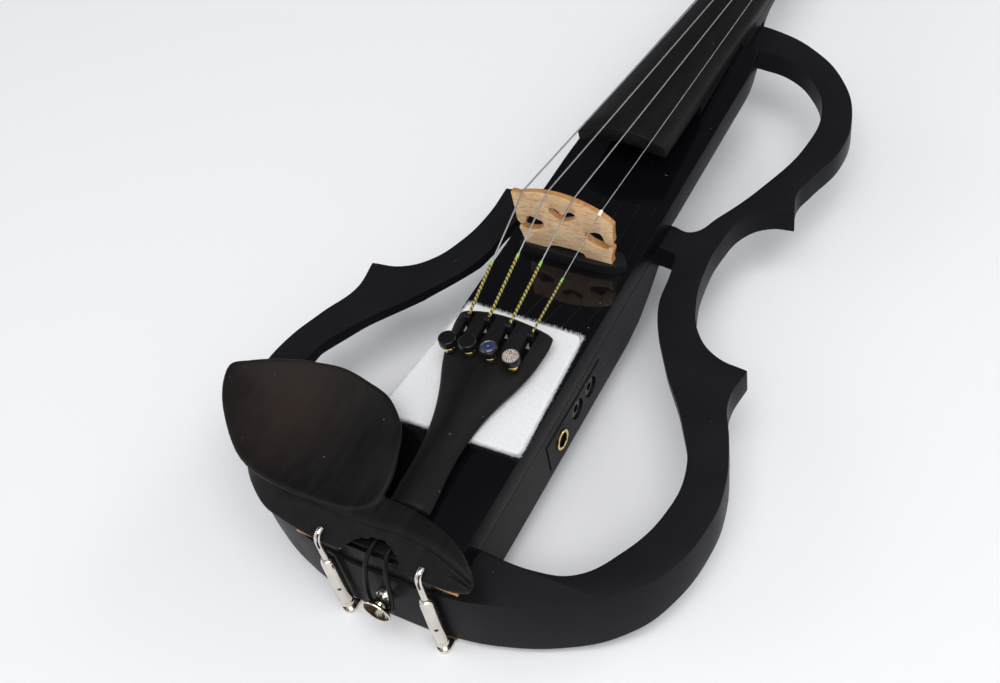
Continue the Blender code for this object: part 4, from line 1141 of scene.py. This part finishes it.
# The tailgut: middle of its two strands, Y, Z and half the distance between them
STRAND = [(2.6, 22.4, 50.2, 3.3), (2.4, 12, 50.2, 3.4), (2.0, 5, 49.9, 3.4), (1.8, 1.5, 48.8, 3.6),
          (1.2, -1.4, 44, 4.4), (0.6, -2.6, 36, 5.0), (0.2, -3.6, 29, 5.4)]
loop = []
for i in range(13):
    turn = math.radians(165 + 210 * i / 12)
    loop.append((5.0 * math.cos(turn), -4.4, BUTTON_Z + 5.0 * math.sin(turn)))
tube("tailgut_cord", [(x - half, y, z) for x, y, z, half in STRAND] + loop
     + [(x + half, y, z) for x, y, z, half in reversed(STRAND)], 0.95, NYLON, 4, 2, replaces=("tailgut",))


# ---------------------------------------------------------------- chin rest
# Outline of the cup's rim
CUP = [(-94.9, 47.8), (-90.6, 36.9), (-81.2, 25.7), (-66.4, 13.3), (-52.1, 7.8), (-34, 6.5), (-16, 9),
       (-6, 14.5), (-4.3, 26.5), (-7.1, 36.8), (-12, 47.1), (-23, 57), (-34, 60.7), (-47.9, 63.4),
       (-59.6, 62.2), (-67.9, 60.7), (-80, 56.7), (-89.4, 52.1)]
CUP_CENTRE = (-47, 35)


def cup_ring(scale, z):
    """The cup's outline shrunk towards its middle, at one height, with points between."""
    ring = list(CUP)
    for _ in range(2):
        finer = []
        for i, (x, y) in enumerate(ring):
            before, after, later = ring[i - 1], ring[(i + 1) % len(ring)], ring[(i + 2) % len(ring)]
            finer.append((x, y))
            finer.append(tuple((9 * (a + b) - c - d) / 16
                               for a, b, c, d in zip((x, y), after, before, later)))
        ring = finer
    return [Vector((CUP_CENTRE[0] + (x - CUP_CENTRE[0]) * scale,
                    CUP_CENTRE[1] + (y - CUP_CENTRE[1]) * scale, z)) for x, y in ring]


# The bar over the tailpiece: X, then Y of its lower front edge, crease and back, heights of the last two
CHIN_BAR = [(-71, 20.5, 21.5, 30, 52.6, 53.6), (-66, 14.2, 17, 29, 54.4, 56),
            (-60, 8.8, 14, 28, 55.6, 57.3), (-50, 2.6, 10.8, 25, 56, 57.5),
            (-40, 0.2, 8.3, 24, 56, 57.6), (-33, -0.9, 7.2, 22, 55.8, 57.6),
            (-22, -2.1, 7.0, 21.2, 55.6, 57.4), (-11, -2.2, 7.0, 20.6, 55.4, 57.2),
            (0, -2.2, 7.6, 20.4, 55.2, 57), (9, -2.2, 8.4, 20, 55, 56.6), (22, -2.0, 7.4, 17, 54.6, 55.8),
            (31, -1.6, 5.2, 13, 53.6, 54.6), (37, -0.6, 3.8, 8.4, 52, 53), (40.4, 0.8, 2.6, 5, 50.4, 51)]


def bar_ring(x, low, crease, back, crease_z, back_z):
    """One cross-section of the bar: a sloping front, a groove under a rolled lip, a rounded back."""
    points = [(low + 0.6, 48.1), (low, 48.7), (low + 0.1, 49.8), (low + (crease - low) * 0.5, 52.6),
              (crease - 0.9, crease_z - 0.7), (crease + 0.9, crease_z - 0.7), (crease + 0.2, crease_z + 0.5),
              (crease + 1.2, crease_z + 1.6), (crease + 3.6, max(crease_z + 1.9, back_z)),
              (back - 1.6, back_z), (back - 0.4, back_z - 0.6), (back, back_z - 1.8), (back, 48.1)]
    return [Vector((x, y, z)) for y, z in points]


def cup_dip(x, y):
    """How much the cup's rim comes down where it runs into the bar."""
    return 4.6 * ease(x, -45, -12) * (1 - ease(y, 14, 40))


def chin_rest():
    """Cup and bar, joined, cut free over the tailpiece and softened where they meet."""
    shape = bmesh.new()
    # Scale of the outline, height, share of the dip
    rows = ((0.6, 51.0, 0), (0.8, 52.6, 0), (0.92, 56.2, 0.4), (0.985, 59.6, 0.9), (1.0, 61.2, 1),
            (0.99, 62.0, 1), (0.965, 62.4, 1), (0.93, 62.2, 1), (0.87, 61.5, 0.95), (0.78, 60.5, 0.8),
            (0.66, 59.5, 0.6), (0.52, 58.6, 0.45), (0.38, 58.0, 0.3), (0.25, 57.6, 0.15), (0.12, 57.4, 0.1))
    rings = []
    for scale, z, share in rows:
        rings.append([Vector((p.x, p.y, p.z - cup_dip(p.x, p.y) * share)) for p in cup_ring(scale, z)])
    add_rings(shape, rings)
    made = joined("chin_rest_wood", shape, CHIN, 60, replaces=("chin_rest",))
    shape = bmesh.new()
    stations = [CHIN_BAR[0][0]] + list(range(-69, 40, 2)) + [CHIN_BAR[-1][0]]
    add_rings(shape, [bar_ring(x, *read_smooth(CHIN_BAR, x)) for x in stations])
    cut(made, [mesh_of(shape, "bar")], "UNION")
    arch = [(47, -14.5), (48.4, -13.2), (50.6, -10.4), (52.6, -6), (53.4, 0), (53.0, 6), (51.4, 11),
            (49.6, 14.6), (48.2, 17.5), (47, 19)]
    front = flat_mesh("arch", [arch], -20, 12, along="Y", curved=False)
    rear = flat_mesh("arch", [[(46, -4), (51.6, -3), (52, 2), (51.8, 7), (46, 8.5)]], 0, 40, along="Y",
                     curved=False)
    cut(made, [front, rear])
    remesh = made.modifiers.new("even", "REMESH")
    remesh.mode = "VOXEL"
    remesh.voxel_size = 0.45 * MM
    remesh.use_smooth_shade = True
    soft = made.modifiers.new("soft", "SMOOTH")
    soft.factor = 0.55
    soft.iterations = 10
    applied(made, 70)
    reduce = made.modifiers.new("reduce", "DECIMATE")
    reduce.ratio = 0.5
    applied(made, 70)


chin_rest()


# ---------------------------------------------------------------- clamps
def clamp(side, name):
    """A barrel with a key hole through it, and the hook that grips the chin rest."""
    x = side * CLAMP_X
    shape = bmesh.new()
    add_turned(shape, [(0, 37.4), (1.9, 37.4), (2.2, 37.2), (2.35, 36.2), (2.6, 35.7), (2.8, 35.0),
                       (2.8, 8.4), (2.6, 7.9), (2.5, 7.2), (2.75, 6.8), (2.75, 5.4), (2.3, 4.6), (0, 4.5)],
               (x, CLAMP_Y, 0), "Z", 40)
    made = joined(f"barrel_{name}", shape, NICKEL, 30, body=f"clamp_barrel_{name}",
                  replaces=(f"clamp_barrel_{name}",))
    hole = tool_rod((0, -2.4, 19), "Y", 0.85, 1.6, 20)
    hole.transform(Matrix.Translation((x * MM, CLAMP_Y * MM, 0)) @ Matrix.Rotation(math.radians(38), 4, "Z"))
    cut(made, [hole])
    tube(f"hook_{name}", [(x, CLAMP_Y, 36.7), (x, CLAMP_Y, 44), (x, CLAMP_Y, 49.4), (x, -1.7, 51.6),
                          (x, -0.2, 52.3), (x, 1.4, 52.4)], 1.4, NICKEL, 6, 2,
         replaces=(f"clamp_hook_{name}",))
    # A dark strip along the front of the hook's bend: a painted reflection of the dark chin rest in the
    # polished wire.
    tube(f"hook_painted_reflection_{name}", [(x + 0.5, CLAMP_Y - 1.0, 46.6), (x + 0.5, CLAMP_Y - 1.0, 49.2),
                               (x + 0.5, -2.4, 51.9), (x + 0.5, -1.2, 52.9)], 0.5, DARK_METAL, 3, 1)


clamp(-1, "bass")
clamp(1, "treble")


# ---------------------------------------------------------------- packing foam
FOAM_CORNERS = [(-33.4, 57.4), (29.6, 59), (26.6, 120.4), (-26.6, 121)]


def foam_place(u, v):
    """A point of the sheet from its shares across and along."""
    near = Vector(FOAM_CORNERS[0]).lerp(Vector(FOAM_CORNERS[1]), u)
    far = Vector(FOAM_CORNERS[3]).lerp(Vector(FOAM_CORNERS[2]), u)
    return near.lerp(far, v).to_3d()


FOAM_LOW = BEAM_TOP + 0.3
FOAM_HIGH = 49.0
FIBRES = 13000


def foam_pad():
    """A sheet of soft foam with an uneven skin and rounded corners."""
    shape = bmesh.new()
    made = bmesh.ops.create_grid(shape, x_segments=110, y_segments=116, size=0.5)["verts"]
    centre = foam_place(0.5, 0.5)
    for vertex in made:
        u, v = vertex.co.x + 0.5, vertex.co.y + 0.5
        rim = min(u, 1 - u, v, 1 - v) * 60
        corner = max(0, 1 - min(u, 1 - u) * 18) * max(0, 1 - min(v, 1 - v) * 18)
        place = foam_place(u, v).lerp(centre, 0.03 * corner)
        vertex.co = Vector((place.x, place.y, FOAM_HIGH - 0.9 * max(0, 1 - rim) ** 2))
    for item in bmesh.ops.extrude_face_region(shape, geom=list(shape.faces))["geom"]:
        if isinstance(item, bmesh.types.BMVert):
            item.co.z = FOAM_LOW
    pad = joined("foam_pad", shape, FOAM, 60, replaces=("packing_foam",))
    grain = bpy.data.textures.new("foam_grain", "CLOUDS")
    grain.noise_scale = 0.0010
    grain.noise_depth = 2
    furry = pad.modifiers.new("fur", "DISPLACE")
    furry.texture = grain
    furry.texture_coords = "LOCAL"
    furry.strength = 0.3 * MM
    furry.mid_level = 0.75
    applied(pad, 180)


def foam_fibres():
    """Fine blades that stand out of the foam, most of them along its edges."""
    fibres = bmesh.new()
    middle = Vector((0.5, 89, 0))
    random.seed(4)
    for _ in range(FIBRES):
        u, v = random.random(), random.random()
        if random.random() < 0.6:
            u, v = random.choice(((u, 0.0), (u, 1.0), (0.0, v), (1.0, v)))
        at_edge = u in (0, 1) or v in (0, 1)
        root = foam_place(u, v)
        outward = (root - middle).normalized() if at_edge else Vector()
        z = random.uniform(FOAM_LOW + 0.4, FOAM_HIGH - 0.3) if at_edge else FOAM_HIGH - 0.5
        lean = Vector((random.gauss(0, 0.6), random.gauss(0, 0.6), 0.35 + 0.5 * random.random())) + outward
        tip = lean.normalized() * random.uniform(0.4, 2.2 if at_edge else 0.9)
        across = Vector((random.gauss(0, 1), random.gauss(0, 1), random.gauss(0, 1))).cross(tip)
        side = across.normalized() * 0.06
        base = Vector((root.x, root.y, z)) - outward * 0.5
        fibres.faces.new([fibres.verts.new(base - side), fibres.verts.new(base + side),
                          fibres.verts.new(base + tip)])
    joined("foam_fibres", fibres, FOAM, 60)


foam_pad()
foam_fibres()
